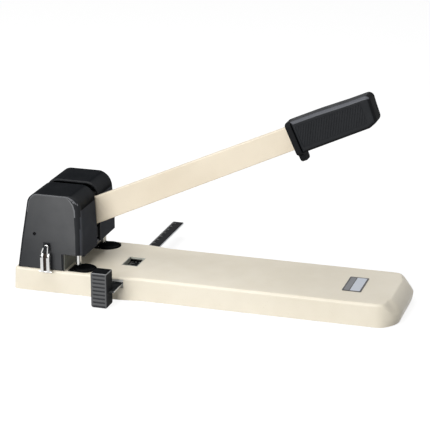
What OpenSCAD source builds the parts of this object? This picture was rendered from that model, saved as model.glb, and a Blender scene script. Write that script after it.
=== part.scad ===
// Heavy-duty two-hole punch.
// X runs across the machine, -Y is the front with the lever grip, +Z is up.
// The origin is midway between the two cutter axes, on the plane that the feet stand on.

/* [Base] */
// Length of the base from the rear edge to the front end
base_len = 442; // [380:0.5:500]
// Width of the rear block that carries the head
rear_w = 117; // [112:0.5:140]
// Width of the paper table
table_w = 108.5; // [90:0.5:112]
// Height of the base shell
base_h = 26; // [24.5:0.5:34]
// Wall of the base shell
base_wall = 2; // [1.6:0.1:2.4]
// Height of the shell's rim above the ground
foot_gap = 0.5; // [0.5:0.1:3]
// Corner radius of the front end in plan
front_r = 26; // [14:1:34]
// Radius that rounds the front end over from the top
nose_r = 14; // [6:1:18]
// Distance from the cutter axes to the rear edge of the base
rear_y = 72.5; // [70:0.5:90]
// Distance from the cutter axes forward to where the base starts to narrow
jog_start = 50; // [46:1:60]
// Length over which the base narrows
jog_len = 34; // [16:1:60]

/* [Bottom] */
// Height of a foot
foot_h = 3; // [2:0.5:4]
// Diameter of a foot
foot_d = 16; // [10:1:20]
// Thickness of the bottom plate
plate_t = 1.5; // [1:0.1:2]
// Diameter of the bottom screws
base_screw_d = 3; // [2.5:0.1:4]

/* [Punching] */
// Distance between the two hole centres
hole_pitch = 80; // [70:1:84]
// Distance from the hole centres back to the paper stop
hole_depth = 12; // [10:0.5:14]
// Outer diameter of a hollow cutter
cutter_d = 6.5; // [5:0.1:7]
// Wall of a hollow cutter
cutter_wall = 0.7; // [0.5:0.1:1]
// Gap between the cutter tips and the discs at rest
tip_gap = 0.5; // [0.4:0.1:3]
// Diameter of a punching disc
disc_d = 23; // [20:0.5:26]
// Height of a punching disc above the base
disc_proud = 2.5; // [1.5:0.1:4]
// Distance from the cutter axis forward to the disc's own axis
disc_off = 7.4; // [5:0.1:7.6]
// Width of the seat ring around a disc
ring_w = 1.7; // [1.5:0.1:3]

/* [Head] */
// Height of the head above the base
head_h = 87.5; // [85:0.5:105]
// Width of the head
head_w = 113; // [110:0.5:115]
// Gap between the two covers
lever_gap = 11; // [10.5:0.1:14]
// Wall of a cover
cover_wall = 2; // [1.4:0.1:2.6]
// Height of the throat above the base
throat_h = 16.5; // [14:0.5:20]
// Distance from the cutter axes to the front face of the head
head_front = 9.9; // [9.6:0.1:14]
// Distance from the cutter axes to the foot of the head's rear face
head_rear = 67.5; // [66:0.5:72]
// Lean of the rear face
rear_lean = 9; // [4:0.5:10]
// Radius of the head's front top edge
brow_r = 16; // [8:1:20]

/* [Lever] */
// Distance from the cutter axes back to the lever shaft
pivot_y = 34; // [33:0.5:36]
// Height of the lever shaft above the base
pivot_h = 38.1; // [37:0.1:40]
// Diameter of the lever shaft
pivot_d = 12; // [10:0.5:13]
// Angle of the lever above the table at rest
lever_tilt = 24.6; // [20:0.1:30]
// Thickness of the lever bar
bar_t = 9; // [7:0.5:10]
// Height of the lever bar at the shaft
bar_h = 30; // [26:0.5:31]
// Height of the lever bar at the grip
bar_tip_h = 26.6; // [22:0.5:29]
// Distance from the shaft to the rear face of the grip
grip_at = 298; // [240:1:340]
// Length of the grip
grip_len = 101; // [80:1:120]
// Width of the grip
grip_w = 26; // [20:0.5:30]
// Height of the grip at its rear end
grip_h = 37; // [32:0.5:40]
// Height of the grip at its front end
grip_tip_h = 34.5; // [31:0.5:38]
// Diameter of the drive pin
drive_d = 8; // [6:0.5:8]

/* [Gauge] */
// Distance from the cutter axes forward to the middle of the gauge bar
gauge_at = 51.2; // [51:0.1:54]
// Width of the gauge bar
gauge_w = 14; // [10:0.5:14]
// Thickness of the gauge bar
gauge_t = 2; // [1.5:0.1:2.5]
// Height of the gauge bar's top above the ground
gauge_z = 20; // [17:0.1:21]
// Distance from the middle of the machine to the far end of the gauge bar
gauge_reach = 163; // [140:1:175]
// Distance from the middle of the machine to the gauge block's stop face
stop_x = 70.5; // [66:0.5:80]
// Thickness of the gauge block
block_t = 18; // [12:0.5:20]
// Width of the gauge block along the machine
block_w = 19; // [14:0.5:20]
// Height of the gauge block
block_h = 40.5; // [34:0.5:42]

/* [Plates and window] */
// Width of the window over the gauge bar
window_w = 29; // [20:0.5:36]
// Length of the window along the machine
window_l = 19.2; // [12:0.1:20]
// Width of the front plate
tag_w = 44; // [30:0.5:60]
// Length of the front plate along the machine
tag_l = 21.5; // [12:0.5:30]
// Distance from the cutter axes forward to the middle of the front plate
tag_at = 310.5; // [250:0.5:320]

/* [Latch] */
// Distance from the cutter axes back to the middle of the latch
latch_y = 31.2; // [28:0.1:40]
// Width of the latch lever
latch_w = 11; // [10.5:0.5:12]

/* [Clearances] */
// Radial clearance of a shaft that turns or slides in a bore
run = 0.05; // [0.03:0.01:0.08]
// Gap between plain faces that move past each other
gap = 0.5; // [0.3:0.1:0.6]
// Gap around a piece that is dropped into an opening
drop = 0.15; // [0.1:0.05:0.3]

/* [Hidden] */
$fn = 96;
eps = 0.01;

// Common fasteners
m3 = 3;
m3_head_d = 5.6;
hex_share = 0.8;

// Heights, from the ground up
base_top = foot_gap + base_h;
under_top = base_top - base_wall;
anvil_t = 6;
anvil_z = under_top - anvil_t;
plate_z = foot_h;
anvil_half = 52;
anvil_front = -24;
anvil_rear = rear_y - 14;
disc_top = base_top + disc_proud;
throat_z = base_top + throat_h;
guide_z = throat_z + gap;
guide_t = 3.5;
guide_top = guide_z + guide_t;
head_top = base_top + head_h;
pivot_z = base_top + pivot_h;

// Underside
screw_head_h = 1.6;
screw_len = 10;
screw_hole = 14;
disc_pin_d = 5;
pillar_d = 14;
bolt_head_d = 10;
bolt_head_h = 4;
bolt_in_block = 11;

// Plan of the base
front_y = rear_y - base_len;
jog_y = -jog_start;
jog_end = jog_y - jog_len;
rear_r = 4;
jog_steps = 8;

// Lever, drive pin and travel
drive_y = 6;
drive_z = guide_top + 9;
drive_r = drive_d / 2;
drive_dy = pivot_y - drive_y;
drive_dz = pivot_z - drive_z;
drive_arm = norm([drive_dy, drive_dz]);
drive_rest = atan2(drive_dz, drive_dy);
lever_down = 2.5;
lever_up = 28.5;
bush_wall = 2;
hub_r = pivot_d / 2 + bush_wall;
arm_plate_t = 2.5;
arm_plate_in = bar_t / 2;
arm_plate_out = arm_plate_in + arm_plate_t;
washer_t = 1.2;
cheek_in = arm_plate_out + washer_t + 0.3;
cheek_t = 5;
cheek_out = cheek_in + cheek_t;
cheek_front = 20;
cheek_rear = 50;
cheek_top = head_top - 16;

// Crosshead
cross_z = guide_top + 3;
cross_h = 12;
cross_half = hole_pitch / 2 + 7;
cross_front = -head_front + cover_wall + 0.9;
cross_rear = 8.5;
web_rear = drive_y - (drive_arm - drive_dy) - drive_r - 2.5 - gap - 0.3;
lug_in = arm_plate_out + gap;
lug_out = lug_in + 5.5;
slot_half = 1.15;
slot_y = drive_y - 0.45;
slot_r = drive_r + 0.3;
rod_x = 24;
rod_y = 2;
rod_d = 8;
rod_bush_d = 12;
bridge_t = 4;
bridge_side = 7;
bridge_rear_w = 10;
bridge_front = rod_y - rod_d / 2 - 1.5;

// Cutters
cutter_r = cutter_d / 2;
tip_z = disc_top + tip_gap;
cutter_top = cross_z + cross_h + 4;
guide_bush_d = cutter_d + 4.5;
set_screw_d = 4;

// Head frame
frame_half = hole_pitch / 2 + 6;
frame_rear = head_rear - 8;
bolt_d = 6;
bolt_x = 38;
bolt_y = [24, 52];
stop_d = 6;
stop_screw_x = 20;
stop_screw_z = base_top + 8;
cheek_foot = 12;
cheek_foot_t = 4;
cheek_screw_d = 4;
cheek_screw_in = 10;
cheek_head_d = 7;
cheek_head_h = 3;
spigot_d = 4;
bridge_screw_in = 8;
bridge_head_h = 2.6;

// Covers
inner_x = lever_gap / 2;
side_x = head_w / 2;
post_y = 46;
post_z = base_top + 41;
post_d = 7;
cover_screw_d = 3;
cover_screw_in = 10;
cover_hole_d = 4;
boss_in = 5;
lip = 2.4;
corner_r = 5;
brow_set = 1.6;
back_r = 13;
edge_r = 2.4;
draft = 3.2;
draft_z = base_top + 34;
notch_in = 8.5;
notch_rise = 3.5;

// Gauge
slot_below = 3.6;
slot_above = 4.3;
slot_side = 0.8;
gauge_y = -gauge_at;
bar_x0 = -stop_x - block_t + 5.5;
block_behind = 11.5;
block_y = gauge_y + gauge_w / 2 + block_behind - block_w / 2;
tab_y = block_y + block_w / 2 - 3;
tab_len = -stop_x - 2 - bar_x0;
block_z = foot_gap;
rib_n = 9;
rib_w = 1.8;
rib_deep = 0.6;
rib_side = 2;
rib_foot = 1.1;
rib_pitch = (block_h - rib_foot - rib_w - 1.6) / (rib_n - 1);
bezel_wall = 0.8;
window_x = -3.2;
window_y = gauge_y - 1.2;
guide_in = 25;
guide_wide = table_w / 2 + (rear_w - table_w) / 4;
guide_out = guide_wide - base_wall - 0.6;
guide_lip = guide_wide + 0.6;
guide_over = 1.4;

// Latch
bracket_x = rear_w / 2;
latch_pin_x = bracket_x + 3.6;
latch_pin_z = base_top - 0.6;
latch_pin_d = 2.4;
latch_lever_top = base_top + 21.5;
latch_gap = 3.8;
hook_z = base_top + 18;
hook_d = 1.8;
hook_arm_y = 3.6;
hook_slot = hook_d + 0.6;
strike_z = base_top + 30;

// Grip
grip_wall_r = 5;
grip_corner_r = 7;
collar_t = 7;
guard_drop = 6;
guard_w = 16;
panel_deep = 0.6;
panel_h = grip_tip_h - 9;
panel_end = grip_at + grip_len - 8;

module mirror_copy() {
  children();
  mirror([1, 0, 0]) children();
}

// Places a shape given in the bar's own frame: -Y forward along the bar, Z across its height.
module on_lever() {
  translate([0, pivot_y, pivot_z]) rotate([-lever_tilt, 0, 0]) children();
}

// Outline drawn in (forward, up), extruded across X about the middle.
module slab(t) {
  rotate([90, 0, -90]) linear_extrude(t, center = true) children();
}

module tube(r_out, r_in, h) {
  difference() {
    cylinder(r = r_out, h = h);
    translate([0, 0, -eps]) cylinder(r = r_in, h = h + 2 * eps);
  }
}

function smooth(t) = t * t * (3 - 2 * t);
function half_at(t, d) = rear_w / 2 + (table_w - rear_w) / 2 * smooth(t) - d;

// Plan of the base, drawn in by d all round.
module base_plan(d) {
  hw = rear_w / 2 - d;
  rr = max(rear_r - d, 0.5);
  tw = table_w / 2 - d;
  fr = front_r - d;
  rear_end = rear_y - d;
  steps = [for (i = [0:jog_steps]) i / jog_steps];
  for (s = [-1, 1]) {
    translate([s * (hw - rr), rear_end - rr]) circle(rr);
    translate([s * (tw - fr), front_y + front_r]) circle(fr);
  }
  translate([-hw, jog_y]) square([2 * hw, rear_end - rr - jog_y]);
  translate([-hw + rr, jog_y]) square([2 * (hw - rr), rear_end - jog_y]);
  polygon(concat(
    [for (t = steps) [-half_at(t, d), jog_y - jog_len * t]],
    [for (t = steps) [half_at(1 - t, d), jog_end + jog_len * t]]
  ));
  translate([-tw, front_y + front_r]) square([2 * tw, -front_y - front_r]);
  translate([-tw + fr, front_y + d]) square([2 * (tw - fr), -front_y - d]);
}

// Side view of the base with its rounded nose, drawn in by d at the top and front.
module base_side(d) {
  nr = nose_r - d;
  top = base_top - d;
  translate([-rear_y - 1, 0]) square([rear_y + 1 - front_y - nose_r, top]);
  translate([-front_y - nose_r - eps, 0]) square([nose_r - d + eps, top - nr]);
  translate([-front_y - nose_r, top - nr]) circle(nr);
}

module base_solid(d, z0) {
  intersection() {
    translate([0, 0, z0]) linear_extrude(base_top - d - z0) base_plan(d);
    slab(2 * rear_w) base_side(d);
  }
}

base_screw_xy = [
  for (p = [[50, rear_y - 6], [rear_w / 2 - 6, -30], [44, -130], [44, -240], [26, front_y + 20]], s = [-1, 1])
    [s * p[0], p[1]]
];
foot_xy = [
  for (p = [[40, 50], [40, -75], [36, -190], [30, front_y + 38]], s = [-1, 1]) [s * p[0], p[1]]
];
mid_foot = [0, 0];
pillar_xy = [for (p = [[hole_pitch / 2, -disc_off], [20, 38]], s = [-1, 1]) [s * p[0], p[1]]];
bolt_xy = [for (y = bolt_y, s = [-1, 1]) [s * bolt_x, y]];

module base_shell() {
  slot_w = gauge_w + 2 * (drop + slot_side);
  color("cornsilk") difference() {
    union() {
      difference() {
        base_solid(0, foot_gap);
        base_solid(base_wall, foot_gap - 1);
      }
      for (p = base_screw_xy) translate([p[0], p[1], plate_z + plate_t])
        cylinder(d = 3 * base_screw_d, h = under_top - plate_z - plate_t + eps);
    }
    for (p = base_screw_xy) translate([p[0], p[1], 0]) cylinder(d = base_screw_d, h = screw_hole);
    for (s = [-1, 1]) translate([s * hole_pitch / 2, -disc_off, under_top - 1])
      cylinder(d = disc_d + 2 * ring_w + 2 * drop, h = base_wall + 2);
    for (p = bolt_xy) translate([p[0], p[1], under_top - 1])
      cylinder(d = bolt_d + 2 * drop, h = base_wall + 2);
    translate([-rear_w / 2 - 1, gauge_y - slot_w / 2, gauge_z - gauge_t - slot_below])
      cube([rear_w + 2, slot_w, gauge_t + slot_below + slot_above]);
    translate([window_x - window_w / 2, window_y - window_l / 2, under_top - 1])
      cube([window_w, window_l, base_wall + 2]);
  }
}

module base_plate() {
  color("dimgray") difference() {
    translate([0, 0, plate_z]) linear_extrude(plate_t) base_plan(base_wall + 0.3);
    for (p = base_screw_xy) translate([p[0], p[1], 0])
      cylinder(d = base_screw_d + 2 * drop, h = plate_z + plate_t + 1);
  }
}

module feet() {
  color("black") for (p = concat(foot_xy, [mid_foot])) translate([p[0], p[1], 0]) cylinder(d = foot_d, h = foot_h);
}

module base_screws() {
  color("silver") for (p = base_screw_xy) translate([p[0], p[1], plate_z - screw_head_h]) {
    difference() {
      cylinder(d = 2 * base_screw_d, h = screw_head_h);
      translate([0, 0, -1]) cylinder(d = base_screw_d * hex_share, h = screw_head_h + 0.2, $fn = 6);
    }
    cylinder(d = base_screw_d, h = screw_len);
  }
}

module anvil_plate() {
  color("slategray") difference() {
    translate([-anvil_half, anvil_front, anvil_z])
      cube([2 * anvil_half, anvil_rear - anvil_front, anvil_t]);
    for (s = [-1, 1]) translate([s * hole_pitch / 2, -disc_off, anvil_z - 1])
      cylinder(d = disc_pin_d + 2 * run, h = anvil_t + 2);
    for (p = bolt_xy) translate([p[0], p[1], anvil_z - 1]) cylinder(d = bolt_d + 2 * drop, h = anvil_t + 2);
  }
}

module support_pillars() {
  color("slategray") for (p = pillar_xy) translate([p[0], p[1], plate_z + plate_t])
    cylinder(d = pillar_d, h = anvil_z - plate_z - plate_t);
}

module frame_bolts() {
  color("silver") for (p = bolt_xy) translate([p[0], p[1], anvil_z - bolt_head_h]) {
    cylinder(d = bolt_head_d, h = bolt_head_h, $fn = 6);
    cylinder(d = bolt_d, h = bolt_head_h + anvil_t + base_wall + bolt_in_block);
  }
}

module disc_ring(s) {
  color("black") translate([s * hole_pitch / 2, -disc_off, under_top])
    tube(disc_d / 2 + ring_w, disc_d / 2 + 0.3, base_wall + 0.6);
}
module near_disc_ring() disc_ring(-1);
module far_disc_ring() disc_ring(1);

disc_edge = 0.6;
module disc(s) {
  color([0.08, 0.08, 0.09]) translate([s * hole_pitch / 2, -disc_off, under_top]) {
    cylinder(d = disc_d, h = base_wall + disc_proud - disc_edge);
    translate([0, 0, base_wall + disc_proud - disc_edge])
      cylinder(d1 = disc_d, d2 = disc_d - 2 * disc_edge, h = disc_edge);
    translate([0, 0, -anvil_t + 1]) cylinder(d = disc_pin_d, h = anvil_t);
  }
}
module near_disc() disc(-1);
module far_disc() disc(1);

module head_block() {
  color("dimgray") difference() {
    translate([-frame_half, hole_depth + 2, base_top])
      cube([2 * frame_half, frame_rear - hole_depth - 2, guide_z - base_top]);
    for (p = bolt_xy) translate([p[0], p[1], base_top - 1]) cylinder(d = bolt_d, h = bolt_in_block + 2);
    for (p = cheek_screw_xy) translate([p[0], p[1], guide_z - cheek_screw_in])
      cylinder(d = cheek_screw_d, h = cheek_screw_in + 1);
    for (s = [-1, 1]) translate([s * stop_screw_x, hole_depth + 1, stop_screw_z])
      rotate([-90, 0, 0]) cylinder(d = m3, h = 9);
  }
}

module guide_plate() {
  color("dimgray") difference() {
    translate([-cross_half, cross_front, guide_z])
      cube([2 * cross_half, frame_rear - cross_front, guide_t]);
    for (s = [-1, 1]) {
      translate([s * hole_pitch / 2, 0, guide_z - 1]) cylinder(d = guide_bush_d, h = guide_t + 2);
      translate([s * rod_x, rod_y, guide_z - 1]) cylinder(d = rod_d, h = guide_t + 2);
    }
    for (p = cheek_screw_xy) translate([p[0], p[1], guide_z - 1])
      cylinder(d = cheek_screw_d + 2 * drop, h = guide_t + 2);
  }
}

// Side plate that holds the lever shaft, with a foot that turns outward; on the +X side.
module cheek() {
  color("dimgray") difference() {
    union() {
      translate([cheek_in, cheek_front, guide_top])
        cube([cheek_t, cheek_rear - cheek_front, cheek_top - guide_top]);
      translate([cheek_in, cheek_front, guide_top])
        cube([cheek_t + cheek_foot, cheek_rear - cheek_front, cheek_foot_t]);
    }
    translate([cheek_in - 1, pivot_y, pivot_z]) rotate([0, 90, 0]) cylinder(d = pivot_d, h = cheek_t + 2);
    translate([cheek_in - 1, stop_yz[0], stop_yz[1]]) rotate([0, 90, 0])
      cylinder(d = stop_d, h = cheek_t + 2);
    translate([cheek_in - 1, post_y, post_z]) rotate([0, 90, 0]) cylinder(d = spigot_d, h = cheek_t + 2);
    for (p = bridge_xy) translate([p[0], p[1], cheek_top - bridge_screw_in - 2]) cylinder(d = m3, h = 11);
    for (p = cheek_screw_xy) translate([p[0], p[1], guide_top - 1])
      cylinder(d = cheek_screw_d + 2 * drop, h = cheek_foot_t + 2);
  }
}
module near_cheek() mirror([1, 0, 0]) cheek();
module far_cheek() cheek();

cheek_screw_xy = [for (y = [26, 44], s = [-1, 1]) [s * (cheek_out + cheek_foot / 2), y]];
module cheek_screws() {
  color("silver") for (p = cheek_screw_xy) translate([p[0], p[1], guide_z - cheek_screw_in + 1]) {
    cylinder(d = cheek_screw_d, h = cheek_screw_in - 1 + guide_t + cheek_foot_t + eps);
    translate([0, 0, cheek_screw_in - 1 + guide_t + cheek_foot_t]) difference() {
      cylinder(d = cheek_head_d, h = cheek_head_h);
      translate([0, 0, cheek_head_h / 2]) cylinder(d = cheek_screw_d * hex_share, h = 2, $fn = 6);
    }
  }
}

bridge_xy = [for (y = [26, 44], s = [-1, 1]) [s * (cheek_in + cheek_out) / 2, y]];
// The stop rod touches the bar's top edge when the lever is fully up.
stop_along = 18;
stop_across = bar_h / 2 + stop_d / 2 + 0.3;
stop_ang = lever_tilt + lever_up;
stop_yz = [
  pivot_y - stop_along * cos(stop_ang) + stop_across * sin(stop_ang),
  pivot_z + stop_along * sin(stop_ang) + stop_across * cos(stop_ang)
];

module back_stop() {
  color("darkolivegreen") difference() {
    translate([-cross_half - 4, hole_depth, base_top])
      cube([2 * cross_half + 8, 2, throat_h]);
    for (s = [-1, 1]) translate([s * stop_screw_x, hole_depth - 1, stop_screw_z]) rotate([-90, 0, 0]) {
      cylinder(d = m3 + 2 * drop, h = 4);
      cylinder(d = m3_head_d + 4 * drop, h = 2.2);
    }
  }
}

module back_stop_screws() {
  color("silver") for (s = [-1, 1]) translate([s * stop_screw_x, hole_depth + 0.1, stop_screw_z])
    rotate([-90, 0, 0]) {
      cylinder(d = m3_head_d, h = 1.1);
      cylinder(d = m3, h = 8);
    }
}

module guide_bush(s) {
  color("peru") translate([s * hole_pitch / 2, 0, guide_z])
    tube(guide_bush_d / 2, cutter_r + run, guide_t);
}
module near_guide_bush() guide_bush(-1);
module far_guide_bush() guide_bush(1);

module guide_rod(s) {
  color("gainsboro") translate([s * rod_x, rod_y, guide_z])
    cylinder(d = rod_d, h = cheek_top + bridge_t - guide_z);
}
module near_guide_rod() guide_rod(-1);
module far_guide_rod() guide_rod(1);

module top_bridge() {
  color("gray") difference() {
    translate([-rod_x - bridge_side, bridge_front, cheek_top])
      cube([2 * (rod_x + bridge_side), cheek_rear - bridge_front, bridge_t]);
    translate([-cheek_in, bridge_front - 1, cheek_top - 1])
      cube([2 * cheek_in, cheek_rear - bridge_rear_w - bridge_front + 1, bridge_t + 2]);
    for (s = [-1, 1]) translate([s * rod_x, rod_y, cheek_top - 1]) cylinder(d = rod_d, h = bridge_t + 2);
    for (p = bridge_xy) translate([p[0], p[1], cheek_top - 1])
      cylinder(d = m3 + 2 * drop, h = bridge_t + 2);
  }
}

module bridge_screws() {
  color("silver") for (p = bridge_xy) translate([p[0], p[1], cheek_top - bridge_screw_in]) {
    cylinder(d = m3, h = bridge_screw_in + bridge_t + eps);
    translate([0, 0, bridge_screw_in + bridge_t]) cylinder(d = m3_head_d, h = bridge_head_h);
  }
}

groove_in = cheek_out + 0.2;
groove_w = 1.2;
groove_deep = 0.6;
shaft_over = 2.6;
module pivot_shaft() {
  color("gainsboro") difference() {
    translate([-cheek_out - shaft_over, pivot_y, pivot_z]) rotate([0, 90, 0])
      cylinder(d = pivot_d, h = 2 * (cheek_out + shaft_over));
    mirror_copy() translate([groove_in, pivot_y, pivot_z]) rotate([0, 90, 0])
      tube(pivot_d / 2 + 1, pivot_d / 2 - groove_deep, groove_w);
  }
}

module shaft_circlips() {
  color("darkgray") mirror_copy() translate([groove_in + 0.1, pivot_y, pivot_z]) rotate([0, 90, 0])
    tube(pivot_d / 2 + 2.4, pivot_d / 2 - groove_deep + 0.1, groove_w - 0.2);
}

module thrust_washers() {
  color("darkgray") mirror_copy() translate([arm_plate_out + 0.15, pivot_y, pivot_z])
    rotate([0, 90, 0]) tube(pivot_d / 2 + 6, pivot_d / 2 + run, washer_t);
}

module stop_rod() {
  color("darkgray") translate([-cheek_out, stop_yz[0], stop_yz[1]]) rotate([0, 90, 0])
    cylinder(d = stop_d, h = 2 * cheek_out);
}

module cover_posts() {
  color("silver") mirror_copy() translate([0, post_y, post_z]) rotate([0, 90, 0]) {
    difference() {
      translate([0, 0, cheek_out]) cylinder(d = post_d, h = side_x - cover_wall - cheek_out);
      translate([0, 0, side_x - cover_wall - cover_screw_in - 2]) cylinder(d = cover_screw_d, h = 13);
    }
    translate([0, 0, cheek_in]) cylinder(d = spigot_d, h = cheek_t + eps);
  }
}

// Side outline of the head in (-Y, Z), drawn in by d.
module head_side(d) {
  top = head_top - d;
  front = head_front - d;
  brow = front - brow_set;
  rear = -(head_rear - d / cos(rear_lean));
  br = brow_r - d;
  back = back_r - d;
  lean = tan(rear_lean);
  z0 = base_top;
  difference() {
    intersection() {
      polygon([
        [rear, z0], [front, z0], [front, z0 + head_h / 2], [brow, top - br],
        [brow, top], [rear + lean * (top - z0), top]
      ]);
      union() {
        translate([rear, z0]) square([front - rear, top - br - z0]);
        translate([rear, z0]) square([brow - br - rear, top - z0]);
        translate([brow - br, top - br]) circle(br);
      }
    }
    // rounds the rear top edge, from where the arc meets the leaning face
    translate([rear + lean * (top - back - z0) + back / cos(rear_lean), top - back]) difference() {
      translate([-3 * back, back * sin(rear_lean)]) square([3 * back, 2 * back]);
      circle(back);
    }
  }
}

// Front outline of the head in (X, Z): upright at the foot, drawn in a little to the top.
module head_face(d) {
  top = head_top - d;
  half = side_x - d;
  edge = edge_r - d / 2;
  intersection() {
    polygon([
      [-half, base_top], [half, base_top], [half, draft_z],
      [half - draft, top], [-half + draft, top], [-half, draft_z]
    ]);
    union() {
      translate([-half, base_top]) square([2 * half, top - edge - base_top]);
      translate([-half + edge + draft, base_top]) square([2 * (half - edge - draft), top - base_top]);
      for (s = [-1, 1]) translate([s * (half - edge - draft), top - edge]) circle(edge);
    }
  }
}

module head_plan(d) {
  r = corner_r - d / 2;
  hw = side_x - d;
  front = -head_front + d;
  translate([-hw + r, front]) square([2 * (hw - r), head_rear - front]);
  translate([-hw, front + r]) square([2 * hw, head_rear - d - r - front - r]);
  for (s = [-1, 1], y = [front + r, head_rear - d - r]) translate([s * (hw - r), y]) circle(r);
}

module head_solid(d) {
  intersection() {
    slab(2 * head_w) head_side(d);
    translate([0, head_rear + 1, 0]) rotate([90, 0, 0]) linear_extrude(head_rear + head_front + 2)
      head_face(d);
    translate([0, 0, base_top]) linear_extrude(head_h) head_plan(d);
  }
}

// One cover, on the +X side.
module cover() {
  difference() {
    union() {
      intersection() {
        difference() {
          head_solid(0);
          difference() {
            head_solid(cover_wall);
            translate([inner_x - 1, -head_front - 1, base_top - 1]) difference() {
              cube([1 + cover_wall, head_rear + head_front + 2, head_h + 2]);
              translate([-1, lip + 1, -1])
                cube([3 + cover_wall, head_rear + head_front - 2 * lip - cover_wall, head_h - lip]);
            }
          }
          translate([0, -head_front + cover_wall, base_top - 1])
            cube([side_x - cover_wall, head_rear + head_front - 2 * cover_wall, 1 + eps]);
        }
        translate([inner_x, -head_front - 1, base_top])
          cube([head_w, head_rear + head_front + 2, head_h + 1]);
      }
      translate([side_x - cover_wall - boss_in, post_y, post_z]) rotate([0, 90, 0])
        cylinder(d = post_d + 5, h = boss_in + eps);
    }
    translate([0, -head_front - 1, base_top - 1])
      cube([side_x - notch_in + eps, head_front + hole_depth + 1, throat_h + 1]);
    translate([side_x - notch_in, -head_front - 1, base_top - 1])
      cube([2 * notch_in, head_front + hole_depth + 1, throat_h + notch_rise + 1]);
    translate([side_x - cover_wall - boss_in - 1, post_y, post_z]) rotate([0, 90, 0])
      cylinder(d = post_d + 2 * drop, h = boss_in + 1);
    translate([side_x - cover_wall - 1, post_y, post_z]) rotate([0, 90, 0])
      cylinder(d = cover_hole_d, h = cover_wall + 2);
  }
}
module near_cover() color([0.2, 0.21, 0.22]) mirror([1, 0, 0]) cover();
module far_cover() color([0.16, 0.17, 0.18]) cover();

module cover_screws() {
  color("black") mirror_copy() translate([side_x - cover_wall - cover_screw_in, post_y, post_z])
    rotate([0, 90, 0]) {
      cylinder(d = cover_screw_d, h = cover_screw_in);
      translate([0, 0, cover_screw_in]) cylinder(d = cover_hole_d - 2 * drop, h = cover_wall / 2);
    }
}

strike_half = hook_arm_y - hook_d / 2 - 0.4;
// Latch on the near side: bracket, lever, hook and the strike on the cover.
module latch_strike() {
  color("silver") {
    translate([-side_x - 1, latch_y - 4, strike_z - 7]) cube([1, 8, 9]);
    translate([-latch_pin_x - 1.3, latch_y - strike_half, strike_z - 2])
      cube([latch_pin_x + 1.3 - side_x, 2 * strike_half, 2]);
  }
}

bracket_t = 1.2;
bracket_down = 5;
bracket_h = 7;
module latch_bracket() {
  w = latch_w / 2 + 0.3;
  lug = latch_pin_x + 1.8 - bracket_x;
  color("silver") difference() {
    translate([-bracket_x - lug, latch_y - w - bracket_t, base_top - bracket_down])
      cube([lug, 2 * (w + bracket_t), bracket_h]);
    translate([-bracket_x - lug - 1, latch_y - w, base_top - bracket_down + bracket_t])
      cube([lug, 2 * w, bracket_h]);
    translate([-latch_pin_x, latch_y - w - 2, latch_pin_z]) rotate([-90, 0, 0])
      cylinder(d = latch_pin_d, h = 2 * w + 4);
  }
}

module latch_pin() {
  color("gainsboro") translate([-latch_pin_x, latch_y - latch_w / 2 - 1.7, latch_pin_z])
    rotate([-90, 0, 0]) cylinder(d = latch_pin_d, h = latch_w + 3.4);
}

module latch_lever() {
  h = latch_lever_top - latch_pin_z;
  color("gainsboro") difference() {
    union() {
      translate([-latch_pin_x, latch_y - latch_w / 2, latch_pin_z]) rotate([-90, 0, 0])
        cylinder(r = 2.2, h = latch_w);
      translate([-latch_pin_x - 2.4, latch_y - latch_w / 2, latch_pin_z]) cube([4.4, latch_w, h]);
    }
    translate([-latch_pin_x - 3.4, latch_y - latch_gap / 2, latch_pin_z - 3]) cube([4, latch_gap, h + 4]);
    for (s = [-1, 1]) translate([-latch_pin_x - 3.4, latch_y + s * hook_arm_y - hook_slot / 2, hook_z - 1.5])
      cube([6.4, hook_slot, latch_lever_top - hook_z + 2]);
    translate([-latch_pin_x, latch_y - latch_w / 2 - 1, latch_pin_z]) rotate([-90, 0, 0])
      cylinder(d = latch_pin_d + 2 * run, h = latch_w + 2);
    translate([-latch_pin_x, latch_y - latch_w / 2 - 1, hook_z]) rotate([-90, 0, 0])
      cylinder(d = hook_d + 2 * run, h = latch_w + 2);
  }
}

module latch_hook() {
  axle = latch_w / 2 + 0.5;
  top = strike_z + hook_d / 2 + 0.3;
  color("gainsboro") translate([-latch_pin_x, latch_y, 0]) {
    translate([0, -axle, hook_z]) rotate([-90, 0, 0]) cylinder(d = hook_d, h = 2 * axle);
    for (s = [-1, 1]) translate([0, s * hook_arm_y, hook_z]) cylinder(d = hook_d, h = top - hook_z);
    translate([0, -hook_arm_y, top]) rotate([-90, 0, 0]) cylinder(d = hook_d, h = 2 * hook_arm_y);
    for (s = [-1, 1]) translate([0, s * hook_arm_y, top]) sphere(d = hook_d);
  }
}

// Lever
bar_end = grip_at + grip_len - 14;
socket_at = grip_at - 9;
function bar_half(s) = bar_h / 2 + (bar_tip_h - bar_h) / 2 * s / grip_at;

module lever_bar() {
  color("wheat") difference() {
    on_lever() {
      slab(bar_t) polygon([
        [0, -bar_half(0)], [bar_end, -bar_half(bar_end)], [bar_end, bar_half(bar_end)], [0, bar_half(0)]
      ]);
      rotate([0, 90, 0]) translate([0, 0, -bar_t / 2]) cylinder(r = bar_half(0), h = bar_t);
    }
    on_lever() rotate([0, 90, 0]) translate([0, 0, -bar_t]) cylinder(r = hub_r, h = 2 * bar_t);
    for (s = rivet_s) on_lever() translate([-bar_t, -s, rivet_t]) rotate([0, 90, 0])
      cylinder(d = rivet_d, h = 2 * bar_t);
  }
}
rivet_s = [20, 32];
rivet_t = 3.5;
rivet_d = 5;
rivet_head_d = 8;
rivet_head_h = 0.8;

module lever_bush() {
  color("peru") translate([-arm_plate_out, pivot_y, pivot_z]) rotate([0, 90, 0])
    tube(hub_r, pivot_d / 2 + run, 2 * arm_plate_out);
}

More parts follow.
